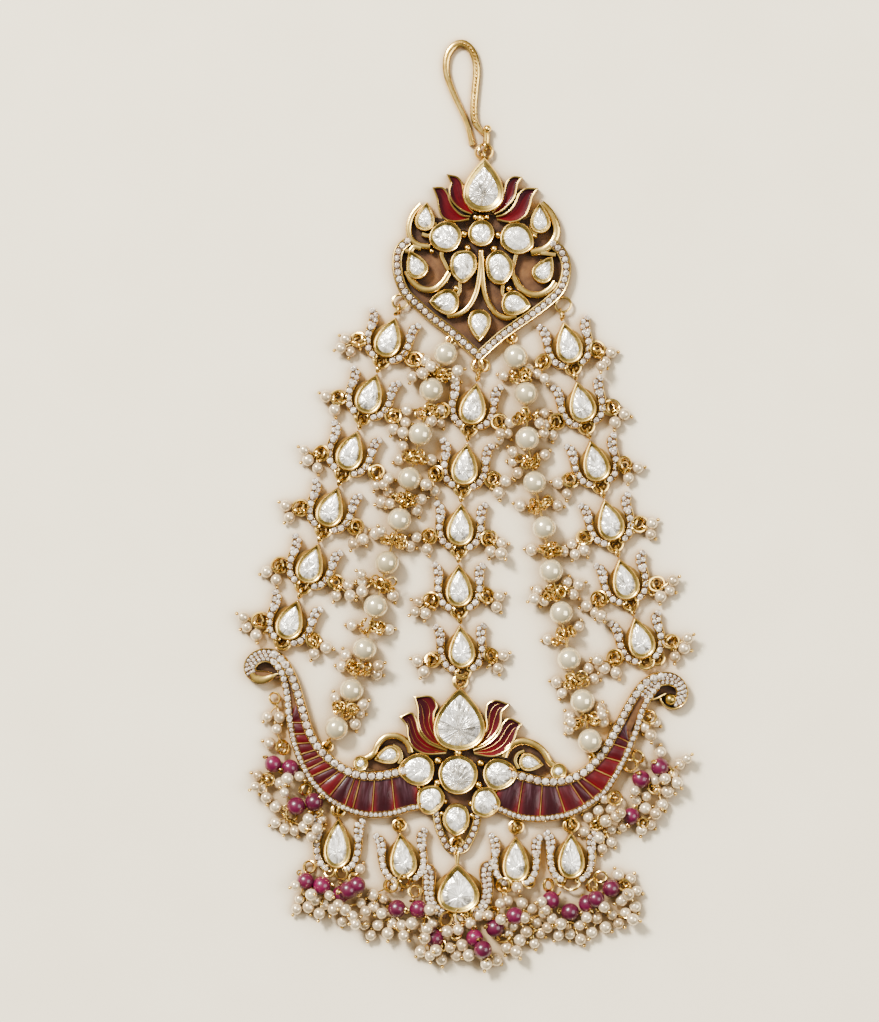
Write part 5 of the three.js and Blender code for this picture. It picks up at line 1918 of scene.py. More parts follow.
    def bib(self, rng: np.random.Generator) -> tuple[list, list]:
        """The stone-set bib below the foot stone.

        Args:
            rng: what varies it.

        Returns:
            The metal and the stones.
        """
        left = ((436.4, 812.6), (438.2, 824.8), (442.6, 836.4), (448.0, 846.4), (456.5, 850.5))
        right = ((477.6, 815.0), (475.2, 826.4), (470.2, 838.0), (464.6, 847.2), (456.5, 850.5))
        metal: list[Shape] = []
        stones: list[Shape] = []
        section, coats = channel_section(1.5, 1.8, 0.2)
        for line in (left, right):
            path = smooth_curve(self.shop.photo.at(*line), 24)
            metal.append(sweep(path, section, coats))
            row = self.shop.jeweller.pave(path[:-2], 1.22, 0.53, 1.66, rng)
            self.shop.jeweller.set_row(metal, stones, row)
        return metal, stones

    def scrolls(self) -> list[Shape]:
        """The scrolls above the paisley stones.

        Returns:
            The scrolls and the dark plates behind them, which are painted shade.
        """
        made = []
        for line, width in zip(SCROLLS, self.scroll_widths):
            path = smooth_curve(self.shop.photo.at(*line), 40)
            made.append(sweep(path, *bar_section(width, self.scroll_height)))
        for plate in SCROLL_PLATES:
            made.append(flat_plate(smooth_curve(self.shop.photo.at(*plate), 36, closed=True), 0.0, 0.5))
        return made

    def eyes(self) -> list[Shape]:
        """The rings and eyes that things hang from.

        Returns:
            The rings.
        """
        photo, wire = self.shop.photo, self.shop.jeweller.wire
        made = []
        for x, y, radius in CRESCENT_EYES:
            made += self.shop.jeweller.coil(
                np.array([*photo.at((x, y))[0], 1.15]), radius, [0.0, 0.1, 1.0], wire * 0.9
            )
        return made


# Fringes


@dataclass
class Fringe:
    """Rings, ruby beads and seed pearls that hang from one place."""

    shop: Workshop
    name: str
    node: str
    rings: tuple
    rubies: tuple
    seeds: tuple
    ruby_radius: float = 1.72
    ruby_climb: float = 1.6
    highest_seed: float = 3.6
    longest_pin: float = 2.3

    def build(self, seed: int) -> None:
        """Makes the fringe.

        Args:
            seed: what its small differences come from.
        """
        rng = np.random.default_rng(seed)
        photo, jeweller, crowd = self.shop.photo, self.shop.jeweller, self.shop.crowd
        wires: list[Shape] = []
        beads: list[Shape] = []
        pearls: list[Shape] = []
        anchors = []
        for x, y, radius in self.rings:
            spot = photo.at((x, y))[0]
            normal = [rng.uniform(-0.9, 0.9), rng.normal(0, 0.3), 1.0]
            for _ in range(2):
                wires.append(
                    hoop(
                        [*spot, rng.uniform(1.2, 1.9)], radius * rng.uniform(0.85, 1.05), normal, 0.22,
                        18, rng.uniform(0.9, 1.3)
                    )
                )
                normal = [rng.uniform(-1, 1), rng.normal(0, 0.5), 0.8]
            anchors.append(np.append(spot, 1.4))
        for x, y in self.rubies:
            spot = photo.at((x, y))[0]
            radius = self.ruby_radius * rng.uniform(0.94, 1.04)
            z = min(crowd.rest(*spot, radius), radius + self.ruby_climb)
            crowd.add(*spot, z, radius)
            centre = np.array([*spot, z])
            way = rng.normal(0, 1, 3) * [1, 1, 0.35]
            beads.append(jeweller.ruby.placed(centre, aim(way) * radius, seed=rng.uniform(0, 20)))
            side = unit(way)
            wires.append(
                tube(np.array([centre - side * (radius + 0.35), centre + side * (radius + 0.35)]), 0.18, 6)
            )
            for k in (-1, 1):
                wires.append(hoop(centre + side * k * (radius + 0.35), 0.42, rng.normal(0, 1, 3), 0.17, 10))
            anchors.append(centre)
        for x, y in self.seeds:
            spot = photo.at((x, y))[0]
            radius = jeweller.seed_radius * rng.uniform(0.9, 1.12)
            z = min(crowd.rest(*spot, radius), self.highest_seed)
            crowd.add(*spot, z, radius)
            centre = np.array([*spot, z])
            nearest = min(anchors, key=lambda a: np.linalg.norm(a - centre))
            back = nearest - centre
            reach = min(float(np.linalg.norm(back)), self.longest_pin)
            start = centre + unit(back) * reach
            made, pearl = jeweller.seed_on_pin(start, centre - start, reach, radius, rng.uniform(0, 20))
            wires += made
            pearls += pearl
            anchors.append(start)
        self.shop.piece(f"{self.name}_rubies", beads, Slot.RUBY, (self.node,))
        self.shop.piece(f"{self.name}_wires", wires, Slot.GOLD)
        self.shop.piece(f"{self.name}_seeds", pearls, Slot.PEARL)


FRINGES = (
    ("left_fringe",
     ((275, 698, 1.1), (283, 747, 1.3), (268, 779, 1.2), (306, 789, 1.2), (292, 814, 1.1), (318, 812, 1.1)),
     ((273.5, 763.5), (290.5, 767.5), (296.6, 805.5), (314.5, 801.4)),
     ((280, 717), (267.6, 716.5), (270, 743), (277, 729), (258, 775), (263, 788), (256, 786), (281, 783),
      (285, 792), (267, 797), (276, 822), (285, 828), (295, 830), (305, 826), (312, 836), (318, 828),
      (276, 806), (288, 778), (300, 776), (309, 818), (322, 818))),
    ("right_fringe",
     ((648.6, 717, 1.3), (637.6, 756, 1.2), (630.4, 765, 1.2), (614.4, 797.4, 1.3), (597, 823, 1.2),
      (653, 787, 1.1), (642, 822, 1.1), (668, 772, 1.0)),
     ((640.4, 778.6), (659.4, 766.6), (630.6, 815.4)),
     ((645, 727), (655, 722), (650, 735), (660, 752), (655, 780), (672, 774), (679, 764), (686, 758),
      (664, 778), (636, 800), (646, 796), (657, 790), (667, 791), (645, 808), (655, 813), (662, 804),
      (650, 824), (641, 829), (611, 809), (598, 810), (588, 817), (615.4, 816), (604, 798), (620, 812),
      (584.6, 831), (598.5, 837), (611, 828.6), (611, 841.5), (602, 848), (622, 826), (605, 820),
      (676, 782), (634, 790))),
    ("drop_1",
     ((310, 866, 1.2), (342, 872, 1.4), (330, 870, 1.1), (354, 878, 1.1)),
     ((306, 880), (322.5, 884.5), (341.5, 893), (349, 888.5), (357.6, 883.6)),
     ((296, 884), (300, 898), (309, 906), (316, 899), (325, 904), (334, 908), (312, 893), (360, 868),
      (339, 903), (346, 908), (353, 914), (343, 920), (330, 894), (361, 902), (297, 908), (320, 912))),
    ("drop_2",
     ((392, 884, 1.3), (415, 890, 1.3), (404, 880, 1.1)),
     ((397.2, 907.4), (418.4, 907.8)),
     ((373, 894), (374, 906), (382, 912), (366, 910), (392, 922), (402, 924), (378, 924), (388, 932),
      (365, 924), (371, 934), (396, 886), (430, 908), (433, 922), (412, 922), (423, 927), (356, 922),
      (384, 898), (404, 934))),
    ("drop_3",
     ((446, 918, 1.5), (462, 914, 1.4), (476, 912, 1.3), (492, 912, 1.2), (440, 944, 1.2), (455, 932, 1.2),
      (502, 934, 1.2)),
     ((474.6, 936.5), (494.6, 926.5), (482.6, 947.5), (434.4, 937)),
     ((425, 936), (421, 950), (430, 954), (441.5, 958), (456.3, 953.4), (462, 943.6), (468.8, 953.4),
      (458, 918.6), (458, 928.5), (479, 914), (500.4, 917.7), (508, 932), (519.6, 939), (506.3, 946.3),
      (496, 958.8), (450, 946), (488, 914), (447, 930), (427, 927), (513, 924), (436, 948), (516, 950),
      (486, 962), (470, 922))),
    ("drop_4",
     ((504, 884, 1.4), (528, 880, 1.2), (516, 884, 1.2)),
     ((514.6, 914.0),),
     ((517, 886), (507, 900), (524, 916), (526, 930), (536, 922), (532, 908), (540, 932), (534, 942),
      (500, 902), (544, 912), (522, 902), (547, 926))),
    ("drop_5",
     ((571, 882, 1.5), (560, 880, 1.1), (592, 884, 1.3), (548, 884, 1.1), (600, 876, 1.1), (623, 884, 1.2)),
     ((550.3, 899), (569.6, 910.6), (586.6, 902.2), (595, 897.4), (610.6, 887.4)),
     ((551.6, 917), (617.7, 874), (636, 890), (634.6, 905.4), (595.8, 917), (611.4, 913.8), (569.5, 932.8),
      (591.3, 931), (560, 922), (579, 924), (603, 905), (621, 899), (627, 893), (618, 922), (605, 926),
      (625, 912), (580, 938), (558, 934), (545, 908), (630, 878), (541, 900), (586, 916), (632, 918))),
)


@dataclass(frozen=True)
class DropPlan:
    """A drop of the crescent: its name, the places of its eye and foot in pixels, and its size."""

    name: str
    head: tuple
    foot: tuple
    width: float = 5.2
    tip_gap: float = 2.0
    rows: int = 1
    wing_reach: float = 1.0


DROPS = (
    DropPlan("drop_1", (339.5, 806.5), (336.5, 872.0)),
    DropPlan("drop_2", (399.0, 821.0), (405.5, 882.5)),
    DropPlan("drop_3", (456.6, 847.0), (459.0, 916.5), 8.0, 2.9, 2, 0.92),
    DropPlan("drop_4", (515.6, 824.5), (515.2, 886.5)),
    DropPlan("drop_5", (570.4, 820.5), (570.8, 882.5)),
)


# Finishes


class Graph:
    """A short way to write a material's nodes."""

    def __init__(self, name: str) -> None:
        """Starts a material with one shader and its output.

        Args:
            name: the material's name.
        """
        self.material = bpy.data.materials.new(name)
        self.material.use_nodes = True
        self.tree = self.material.node_tree
        self.tree.nodes.clear()
        self.shader = self.tree.nodes.new("ShaderNodeBsdfPrincipled")
        output = self.tree.nodes.new("ShaderNodeOutputMaterial")
        self.tree.links.new(self.shader.outputs[0], output.inputs["Surface"])

    def add(self, kind: str, inputs: dict, **settings: object) -> bpy.types.Node:
        """Adds a node.

        Args:
            kind: the node's type, without its prefix.
            inputs: its sockets by name or number, each a value or another node's socket.
            settings: the node's own settings.

        Returns:
            The node.
        """
        node = self.tree.nodes.new("ShaderNode" + kind)
        for key, value in settings.items():
            setattr(node, key, value)
        self.feed(node, inputs)
        return node

    def feed(self, node: bpy.types.Node, inputs: dict) -> None:
        """Links or sets the inputs of a node.

        Args:
            node: the node.
            inputs: its sockets by name or number, each a value or another node's socket.
        """
        for key, value in inputs.items():
            socket = node.inputs[key]
            if isinstance(value, bpy.types.NodeSocket):
                self.tree.links.new(value, socket)
            else:
                socket.default_value = value

    def mark(self) -> bpy.types.NodeSocket:
        """The local mark of each point, as a vector."""
        return self.add("Attribute", {}, attribute_name="local").outputs["Vector"]

    def place(self) -> bpy.types.NodeSocket:
        """The point in the object's own metres."""
        return self.add("TexCoord", {}).outputs["Object"]

    def noise(
        self, vector: bpy.types.NodeSocket, scale: float, detail: float = 3.0, distortion: float = 0.0
    ) -> bpy.types.NodeSocket:
        """A noise from 0 to 1."""
        node = self.add(
            "TexNoise", {"Vector": vector, "Scale": scale, "Detail": detail, "Distortion": distortion}
        )
        return node.outputs["Fac"]

    def ramp(self, value: bpy.types.NodeSocket, stops: list) -> bpy.types.NodeSocket:
        """A colour by a value, from (position, colour) stops.

        Args:
            value: what the colour goes by.
            stops: the (position, colour) pairs.

        Returns:
            The colour.
        """
        node = self.add("ValToRGB", {0: value})
        ramp = node.color_ramp
        while len(ramp.elements) < len(stops):
            ramp.elements.new(0.5)
        for element, (position, colour) in zip(ramp.elements, stops):
            element.position = position
            element.color = (*colour, 1.0)
        return node.outputs["Color"]

    def mix(self, share: bpy.types.NodeSocket | float, first: object, second: object) -> bpy.types.NodeSocket:
        """A mix of two colours.

        Args:
            share: the second colour's share.
            first: a colour or a socket.
            second: a colour or a socket.

        Returns:
            The mixed colour.
        """
        node = self.add("Mix", {}, data_type="RGBA")
        self.feed(node, {0: share, 6: first, 7: second})
        return node.outputs[2]

    def math(
        self, operation: str, first: object, second: object = 0.0, clamp: bool = False
    ) -> bpy.types.NodeSocket:
        """A sum on one or two values."""
        node = self.add("Math", {0: first, 1: second}, operation=operation, use_clamp=clamp)
        return node.outputs[0]

    def bump(self, height: bpy.types.NodeSocket, strength: float, distance: float) -> bpy.types.NodeSocket:
        """A bumped normal, with its distance in metres."""
        node = self.add("Bump", {"Height": height, "Strength": strength, "Distance": distance})
        return node.outputs["Normal"]

    def finish(self, inputs: dict) -> bpy.types.Material:
        """Sets the shader's inputs and returns the material."""
        self.feed(self.shader, inputs)
        return self.material


@dataclass(frozen=True)
class GoldFinish:
    """Cast gold with a fine grain, darkened where ambient occlusion finds hollows: partly patina and partly
    painted shade.
    """

    name: str
    bright: tuple
    deep: tuple
    # The colour mixed in where hollows are: partly patina, partly painted shade.
    patina_and_shade: tuple
    roughness: float
    reach: float = 0.0011
    metal: float = 1.0

    def material(self) -> bpy.types.Material:
        """Makes the material.

        Returns:
            The material, ready for a mesh.
        """
        graph = Graph(self.name)
        place = graph.place()
        cloud = graph.noise(place, 420.0, 4.0)
        colour = graph.ramp(cloud, [(0.34, self.deep), (0.62, self.bright)])
        # Painted shade: the hollow colour is mixed in where ambient occlusion is high.
        shade = graph.add("AmbientOcclusion", {"Distance": self.reach}, samples=6).outputs["AO"]
        open_share = graph.ramp(shade, [(0.3, (0.0, 0.0, 0.0)), (0.82, (1.0, 1.0, 1.0))])
        colour = graph.mix(open_share, (*self.patina_and_shade, 1.0), colour)
        grain = graph.noise(place, 2600.0, 3.0)
        dents = graph.noise(place, 900.0, 2.0)
        height = graph.math("ADD", graph.math("MULTIPLY", grain, 0.4), dents)
        rough = graph.math("MULTIPLY_ADD", cloud, 0.16)
        rough.node.inputs[2].default_value = self.roughness - 0.08
        return graph.finish({
            "Base Color": colour,
            "Metallic": self.metal,
            "Roughness": rough,
            "Normal": graph.bump(height, 0.35, 0.00008),
        })


@dataclass(frozen=True)
class FoilFinish:
    """Clear glass over crumpled silver foil, with painted reflections: bright streaks that fan out, and grey
    flecks.
    """

    name: str
    crumple: float = 0.9
    streak: float = 5.0
    bright: tuple = (1.0, 0.965, 0.87)
    middle: tuple = (0.7, 0.655, 0.55)
    grey: tuple = (0.23, 0.21, 0.18)

    def material(self) -> bpy.types.Material:
        """Makes the material.

        Returns:
            The material, ready for a mesh.
        """
        graph = Graph(self.name)
        mark = graph.mark()
        parts = graph.add("SeparateXYZ", {0: mark})
        x, y, seed = parts.outputs[0], parts.outputs[1], parts.outputs[2]
        y_low = graph.math("ADD", y, 0.35)
        angle = graph.math("ARCTAN2", y_low, x)
        fan = graph.add("CombineXYZ", {0: angle, 1: graph.math("MULTIPLY", y, 0.35), 2: seed}).outputs[0]
        streaks = graph.noise(fan, self.streak, 2.0, 0.6)
        moved = graph.add("VectorMath", {0: mark}, operation="ADD")
        graph.feed(moved, {1: graph.add("CombineXYZ", {0: seed, 1: seed, 2: 0.0}).outputs[0]})
        broad = graph.noise(moved.outputs[0], 1.7, 1.0, 0.4)
        cells = graph.add(
            "TexVoronoi", {"Vector": moved.outputs[0], "Scale": 2.2, "Randomness": 1.0},
            distance="CHEBYCHEV"
        )
        flecks = graph.noise(moved.outputs[0], 6.0, 3.0, 1.2)
        height = graph.math("ADD", streaks, graph.math("MULTIPLY", cells.outputs["Distance"], 0.9))
        edge = graph.add(
            "VectorMath", {0: graph.add("CombineXYZ", {0: x, 1: y, 2: 0.0}).outputs[0]},
            operation="LENGTH"
        )
        rim = graph.math("POWER", edge.outputs["Value"], 3.0)
        # Painted reflection: bright where the crumpled foil would catch the light, grey where it would not,
        # and a little darker towards the edge.
        shade = graph.math("ADD", graph.math("MULTIPLY", streaks, 0.34), graph.math("MULTIPLY", broad, 0.44))
        shade = graph.math("ADD", shade, graph.math("MULTIPLY", flecks, 0.22))
        shade = graph.math("SUBTRACT", shade, graph.math("MULTIPLY", rim, 0.07))
        colour = graph.ramp(shade, [(0.37, self.grey), (0.44, self.middle), (0.5, self.bright)])
        return graph.finish({
            "Base Color": colour,
            "Metallic": 0.55,
            "Roughness": 0.22,
            "Coat Weight": 1.0,
            "Coat Roughness": 0.03,
            "Normal": graph.bump(height, self.crumple, 0.0009),
        })


@dataclass(frozen=True)
class PaveFinish:
    """Small clear stones over bright metal, each a little different, with painted sparkle: dark facets and a
    star of rays painted in as reflections.
    """

    name: str
    bright: tuple = (0.98, 0.88, 0.74)
    dull: tuple = (0.82, 0.65, 0.49)
    dark: tuple = (0.2, 0.15, 0.11)

    def material(self) -> bpy.types.Material:
        """Makes the material.

        Returns:
            The material, ready for a mesh.
        """
        graph = Graph(self.name)
        mark = graph.mark()
        parts = graph.add("SeparateXYZ", {0: mark})
        angle = graph.math("ARCTAN2", parts.outputs[1], parts.outputs[0])
        star = graph.math("ABSOLUTE", graph.math("SINE", graph.math("MULTIPLY", angle, 4.0)))
        seed = parts.outputs[2]
        tint = graph.noise(graph.add("CombineXYZ", {0: seed, 1: seed, 2: seed}).outputs[0], 3.0, 0.0)
        colour = graph.ramp(tint, [(0.35, self.dull), (0.55, self.bright)])
        # Painted reflections: dark facets, stronger along a star of rays, are mixed into the colour for
        # sparkle.
        spread = graph.add("VectorMath", {0: mark, 1: (1.0, 1.0, 7.0)}, operation="MULTIPLY")
        broken = graph.add("TexVoronoi", {"Vector": spread.outputs[0], "Scale": 1.5, "Randomness": 1.0})
        facet = graph.add("SeparateXYZ", {0: broken.outputs["Color"]}).outputs[0]
        dim = graph.ramp(
            facet, [(0.52, (0.0, 0.0, 0.0)), (0.66, (0.55, 0.55, 0.55)), (0.88, (1.0, 1.0, 1.0))]
        )
        dim = graph.math("MULTIPLY", dim, graph.math("ADD", graph.math("MULTIPLY", star, 0.35), 0.65))
        colour = graph.mix(dim, colour, (*self.dark, 1.0))
        return graph.finish({
            "Base Color": colour,
            "Metallic": 0.35,
            "Roughness": 0.12,
            "Coat Weight": 1.0,
            "Coat Roughness": 0.03,
            "Normal": graph.bump(star, 0.6, 0.0002),
        })


@dataclass(frozen=True)
class EnamelFinish:
    """Fired enamel in a cell: nearly black in the middle of a dark cell, glowing red beside the gold, with a
    mauve haze that is a painted reflection.
    """

    name: str
    deep: tuple = (0.01, 0.0007, 0.0022)
    haze: tuple = (0.085, 0.04, 0.052)
    glow: tuple = (0.19, 0.0018, 0.004)

    def material(self) -> bpy.types.Material:
        """Makes the material.

        Returns:
            The material, ready for a mesh.
        """
        graph = Graph(self.name)
        parts = graph.add("SeparateXYZ", {0: graph.mark()})
        phase, height, red = parts.outputs[0], parts.outputs[1], parts.outputs[2]
        place = graph.place()
        cloud = graph.noise(place, 800.0, 4.0, 1.0)
        fine = graph.noise(place, 3000.0, 3.0)
        edge = graph.math("MULTIPLY", graph.math("ABSOLUTE", graph.math("SUBTRACT", phase, 0.5)), 2.0)
        beside = graph.math("POWER", edge, 4.0)
        low = graph.math("SUBTRACT", 1.0, graph.math("MULTIPLY", height, 0.6))
        glow = graph.math("MULTIPLY", beside, graph.math("MULTIPLY", low, 0.9))
        own = graph.math("MULTIPLY", red, graph.math("ADD", graph.math("MULTIPLY", edge, -0.2), 0.44))
        glow = graph.math("ADD", glow, own)
        glow = graph.math("MULTIPLY", glow, graph.math("ADD", cloud, 0.42), clamp=True)
        # The haze is a painted reflection: a streaky mauve sheen over the middle and inner part of each dark
        # cell.
        sheet = {
            0: graph.math("MULTIPLY", phase, 4.5), 1: graph.math("MULTIPLY", height, 0.9),
            2: graph.math("MULTIPLY", red, 40.0)
        }
        streak = graph.noise(graph.add("CombineXYZ", sheet).outputs[0], 1.6, 1.0)
        streak = graph.math("MULTIPLY", graph.math("SUBTRACT", streak, 0.47), 3.4, clamp=True)
        crown = graph.math("SUBTRACT", 1.0, beside, clamp=True)
        haze = graph.math("MULTIPLY", graph.math("MULTIPLY", crown, height), graph.math("SUBTRACT", 1.0, red))
        haze = graph.math("MULTIPLY", haze, streak, clamp=True)
        colour = graph.mix(glow, (*self.deep, 1.0), (*self.glow, 1.0))
        colour = graph.mix(haze, colour, (*self.haze, 1.0))
        return graph.finish({
            "Base Color": colour,
            "Roughness": 0.3,
            "Specular IOR Level": 0.2,
            "Coat Weight": 0.2,
            "Coat Roughness": 0.05,
            "Normal": graph.bump(graph.math("ADD", cloud, graph.math("MULTIPLY", fine, 0.2)), 0.25, 0.0002),
        })


@dataclass(frozen=True)
class PetalFinish:
    """Enamel of a petal: crimson at its foot and maroon towards its tip and along one side."""

    name: str
    deep: tuple = (0.014, 0.0008, 0.002)
    glow: tuple = (0.1, 0.0012, 0.003)
    haze: tuple = (0.04, 0.009, 0.013)

    def material(self) -> bpy.types.Material:
        """Makes the material.

        Returns:
            The material, ready for a mesh.
        """
        graph = Graph(self.name)
        parts = graph.add("SeparateXYZ", {0: graph.mark()})
        along, across, seed = parts.outputs[0], parts.outputs[1], parts.outputs[2]
        place = graph.place()
        cloud = graph.noise(place, 700.0, 4.0, 1.2)
        stretch = graph.add(
            "CombineXYZ",
            {0: graph.math("MULTIPLY", across, 2.2), 1: graph.math("MULTIPLY", along, 1.2), 2: seed}
        )
        brush = graph.noise(stretch.outputs[0], 1.8, 3.0, 0.5)
        foot = graph.math("SUBTRACT", 0.98, graph.math("MULTIPLY", along, 1.15))
        glow = graph.math("ADD", foot, graph.math("MULTIPLY", graph.math("SUBTRACT", brush, 0.5), 1.6))
        glow = graph.math("SUBTRACT", glow, graph.math("MULTIPLY", across, 0.22), clamp=True)
        colour = graph.mix(glow, (*self.deep, 1.0), (*self.glow, 1.0))
        haze = graph.math("MULTIPLY", graph.math("MULTIPLY", along, brush), 0.55, clamp=True)
        colour = graph.mix(haze, colour, (*self.haze, 1.0))
        return graph.finish({
            "Base Color": colour,
            "Roughness": 0.42,
            "Specular IOR Level": 0.05,
            "Coat Weight": 0.02,
            "Coat Roughness": 0.05,
            "Normal": graph.bump(cloud, 0.25, 0.0002),
        })


@dataclass(frozen=True)
class BeadFinish:
    """A bead: pearl lustre or dyed stone, each bead in its own shade."""

    name: str
    light: tuple
    dark: tuple
    roughness: float
    coat: float
    sheen_metal: float
    grain: float

    def material(self) -> bpy.types.Material:
        """Makes the material.

        Returns:
            The material, ready for a mesh.
        """
        graph = Graph(self.name)
        seed = graph.add("SeparateXYZ", {0: graph.mark()}).outputs[2]
        spread = graph.add("CombineXYZ", {0: seed, 1: seed, 2: seed}).outputs[0]
        own = graph.noise(spread, 2.3, 0.0)
        place = graph.place()
        cloud = graph.noise(place, self.grain, 4.0, 0.8)
        share = graph.math("ADD", graph.math("MULTIPLY", own, 0.6), graph.math("MULTIPLY", cloud, 0.4))
        colour = graph.ramp(share, [(0.32, self.dark), (0.66, self.light)])
        return graph.finish({
            "Base Color": colour,
            "Metallic": self.sheen_metal,
            "Roughness": self.roughness,
            "Coat Weight": self.coat,
            "Coat Roughness": 0.06,
            "Normal": graph.bump(cloud, 0.25, 0.00006),
        })


@dataclass(frozen=True)
class FloorFinish:
    """A plain pale table with a barely visible grain, and a painted contact shadow: a warm brown shade mixed
    in where ambient occlusion finds the jewel close by.
    """

    name: str
    light: tuple = (0.885, 0.8, 0.605)
    dark: tuple = (0.855, 0.77, 0.575)
    shade: tuple = (0.34, 0.225, 0.105)
    shade_reach: float = 0.016

    def material(self) -> bpy.types.Material:
        """Makes the material.

        Returns:
            The material, ready for a mesh.
        """
        graph = Graph(self.name)
        place = graph.place()
        grain = graph.noise(place, 1800.0, 3.0)
        colour = graph.ramp(graph.noise(place, 60.0, 2.0), [(0.3, self.dark), (0.7, self.light)])
        # Painted contact shadow: the table darkens to the shade colour near the jewel.
        near = graph.add("AmbientOcclusion", {"Distance": self.shade_reach}, samples=8).outputs["AO"]
        open_share = graph.ramp(near, [(0.36, (0.0, 0.0, 0.0)), (0.98, (1.0, 1.0, 1.0))])
        colour = graph.mix(open_share, (*self.shade, 1.0), colour)
        return graph.finish({
            "Base Color": colour,
            "Roughness": 0.75,
            "Specular IOR Level": 0.2,
            "Normal": graph.bump(grain, 0.25, 0.00008),
        })


def make_materials() -> list:
    """Makes the materials, in the order of Coat.

    Returns:
        One material for each Coat.
    """
    gold = GoldFinish("cast_gold", (0.98, 0.68, 0.2), (0.78, 0.48, 0.1), (0.1, 0.034, 0.005), 0.22)
    bevel = GoldFinish("bevel_gold", (0.72, 0.52, 0.14), (0.42, 0.28, 0.055), (0.1, 0.05, 0.009), 0.27)
    # A browner, darker copy of the gold for sides and lower rings: painted shade; fine lines use it too.
    wall = GoldFinish("side_gold", (0.64, 0.4, 0.11), (0.36, 0.19, 0.045), (0.07, 0.027, 0.007), 0.36)
    # A dark brown gold for plates and channel floors: painted shade.
    patina_and_shade = GoldFinish(
        "shaded_recess_gold", (0.15, 0.066, 0.019), (0.075, 0.029, 0.0075), (0.016, 0.0055, 0.0012), 0.5, 0.0022,
        0.5
    )
    wire = GoldFinish("wire_gold", (0.95, 0.66, 0.2), (0.66, 0.42, 0.1), (0.14, 0.055, 0.01), 0.2, 0.0005)
    pearl = BeadFinish("pearl", (0.86, 0.75, 0.47), (0.68, 0.56, 0.31), 0.17, 1.0, 0.6, 500.0)
    seed = BeadFinish("seed_pearl", (0.84, 0.69, 0.45), (0.48, 0.33, 0.165), 0.2, 1.0, 0.55, 900.0)
    ruby = BeadFinish("ruby_bead", (0.125, 0.002, 0.034), (0.03, 0.0008, 0.008), 0.3, 0.25, 0.0, 700.0)
    finishes = [
        gold, bevel, wall, FoilFinish("foiled_stone"), PaveFinish("small_stone"),
        EnamelFinish("red_enamel"), pearl, seed, ruby,
        patina_and_shade, FoilFinish("soft_foiled_stone", 0.42, 3.0), wire, PetalFinish("petal_enamel"),
    ]
    return [finish.material() for finish in finishes]


# Studio


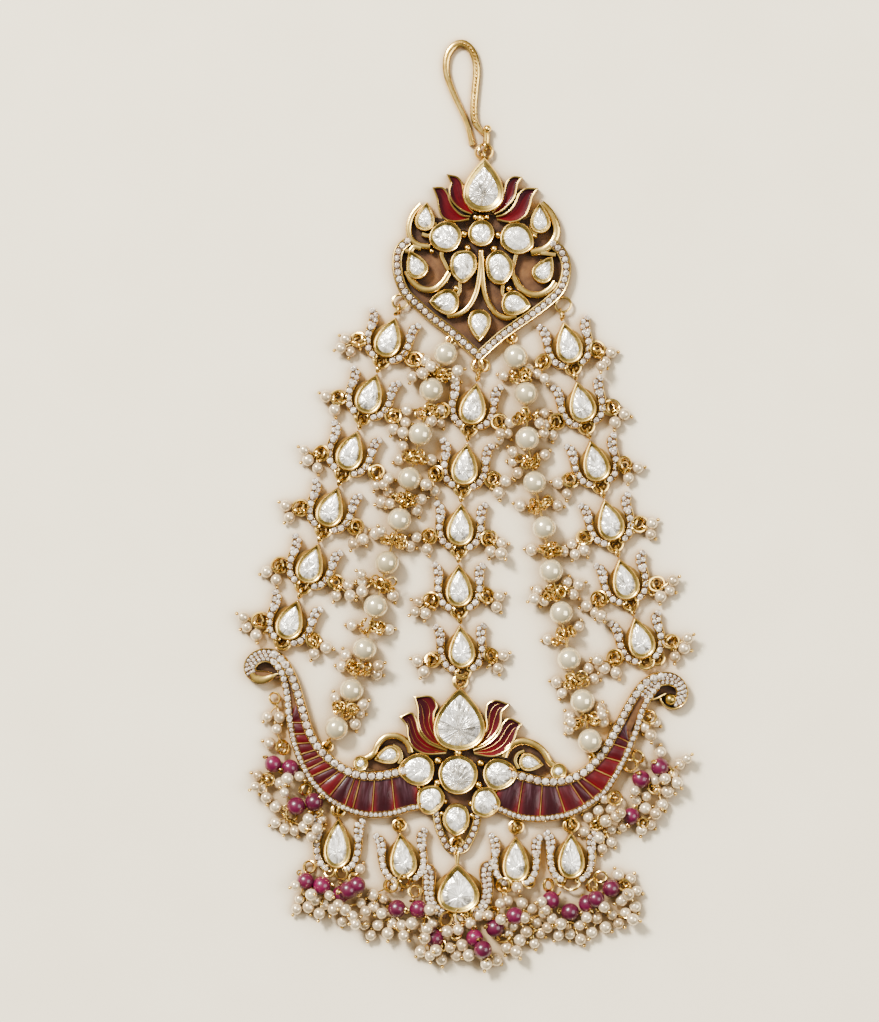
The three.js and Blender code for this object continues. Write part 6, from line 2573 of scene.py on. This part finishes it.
@dataclass
class Studio:
    """The table, the soft light and the camera."""

    photo: Photo
    frame_middle: tuple = (439.5, 511.0)
    frame_height: float = 194.2
    distance: float = 0.8
    tilt: float = 2.0
    sensor: float = 36.0
    bright_side: tuple = (-0.42, 0.42, 0.8)

    def build(self) -> None:
        """Makes all of it."""
        self.floor()
        self.camera()
        self.lights()
        self.surroundings()

    def floor(self) -> None:
        """The table top."""
        half, steps = 1.5, 12
        line = np.linspace(-half, half, steps + 1)
        points = [(x, y, 0.0) for y in line for x in line]
        row = steps + 1
        faces = [
            (r * row + c, r * row + c + 1, (r + 1) * row + c + 1, (r + 1) * row + c) for r in range(steps)
            for c in range(steps)
        ]
        mesh = bpy.data.meshes.new("table_top")
        mesh.from_pydata(points, [], faces)
        mesh.materials.append(FloorFinish("pale_table").material())
        table = bpy.data.objects.new("table_top", mesh)
        bpy.context.scene.collection.objects.link(table)

    def camera(self) -> None:
        """The camera, almost straight above."""
        target = np.append(self.photo.at(self.frame_middle)[0] * MM, 0.001)
        lens = self.sensor * self.distance / (self.frame_height * MM)
        data = bpy.data.cameras.new("camera")
        data.lens, data.sensor_width = lens, self.sensor
        data.clip_start = 0.01
        camera = bpy.data.objects.new("camera", data)
        lean = math.radians(self.tilt)
        camera.location = target + self.distance * np.array([0.0, -math.sin(lean), math.cos(lean)])
        camera.rotation_euler = (lean, 0.0, 0.0)
        bpy.context.scene.collection.objects.link(camera)
        bpy.context.scene.camera = camera

    def lights(self) -> None:
        """A large soft light from the upper left and a weak one from the right."""
        for name, place, size, power in (
            ("key_light", (-0.83, 0.9, 1.19), 0.396, 98.0),
            ("fill_light", (0.62, -0.05, 0.7), 0.6, 8.0),
        ):
            data = bpy.data.lights.new(name, "AREA")
            data.size, data.energy = size, power
            data.color = (1.0, 0.97, 0.93)
            light = bpy.data.objects.new(name, data)
            light.location = place
            way = -np.array(place)
            light.rotation_euler = (
                math.acos(-way[2] / np.linalg.norm(way)), 0.0, math.atan2(way[1], way[0]) - math.pi / 2
            )
            bpy.context.scene.collection.objects.link(light)

    def surroundings(self) -> None:
        """The room: bright above and dim near the horizon, so that metal has something to show."""
        world = bpy.data.worlds.new("room")
        world.use_nodes = True
        bpy.context.scene.world = world
        tree = world.node_tree
        tree.nodes.clear()
        where = tree.nodes.new("ShaderNodeTexCoord")
        ramp = tree.nodes.new("ShaderNodeValToRGB")
        back = tree.nodes.new("ShaderNodeBackground")
        output = tree.nodes.new("ShaderNodeOutputWorld")
        facing = tree.nodes.new("ShaderNodeVectorMath")
        facing.operation = "DOT_PRODUCT"
        facing.inputs[1].default_value = self.bright_side
        tree.links.new(where.outputs["Generated"], facing.inputs[0])
        tree.links.new(facing.outputs["Value"], ramp.inputs[0])
        tree.links.new(ramp.outputs[0], back.inputs["Color"])
        tree.links.new(back.outputs[0], output.inputs["Surface"])
        stops = [(0.0, 0.22), (0.3, 0.36), (0.6, 0.74), (0.78, 1.15), (0.9, 2.05), (1.0, 2.7)]
        while len(ramp.color_ramp.elements) < len(stops):
            ramp.color_ramp.elements.new(0.5)
        for element, (position, level) in zip(ramp.color_ramp.elements, stops):
            element.position = position
            element.color = (level, level * 0.96, level * 0.89, 1.0)
        back.inputs["Strength"].default_value = 0.5


def main() -> None:
    """Builds every sub-assembly in order."""
    logging.basicConfig(level=logging.INFO, format="%(message)s")
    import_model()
    low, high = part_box("crest_round_stone")
    middle = (np.array(low) + np.array(high)) / 2 / MM
    photo = Photo(shift_x=float(middle[0]) - ROUND_STONE[0], shift_y=float(middle[1]) - ROUND_STONE[1])
    shop = Workshop(photo, Jeweller(), Crowd(), make_materials())
    Studio(photo).build()
    HairHook(shop).build()
    Crest(shop).build()
    for number, plan in enumerate(STRANDS):
        eyes = plan.eyes()
        for k in range(plan.links):
            name = f"{plan.name}_link_{k + 1}"
            Link(shop, name, tuple(eyes[k]), tuple(eyes[k + 1])).build(100 * number + k, (name,))
    for k, (side, pixels, head, end) in enumerate(PEARL_STRINGS):
        PearlString(shop, side, pixels, head, end).build(500 + k)
    for number, plan in enumerate(STRANDS):
        eyes = plan.eyes()
        for k in range(plan.links):
            name = f"{plan.name}_link_{k + 1}"
            SideRings(shop, name, tuple(eyes[k]), tuple(eyes[k + 1])).build(1000 + 100 * number + k)
    Crescent(shop).build()
    for k, plan in enumerate(DROPS):
        head, foot = photo.at(plan.head, plan.foot)
        drop = Link(
            shop, plan.name, tuple(head), tuple(foot), plan.tip_gap, 0.9, plan.width, plan.wing_reach,
            plan.rows, False
        )
        drop.build(700 + k, (plan.name,))
    for k, (name, rings, rubies, seeds) in enumerate(FRINGES):
        node = name if name.endswith("fringe") else f"{name}_fringe"
        Fringe(shop, f"{name}_beads", node, rings, rubies, seeds).build(800 + k)


if __name__ == "__main__":
    main()
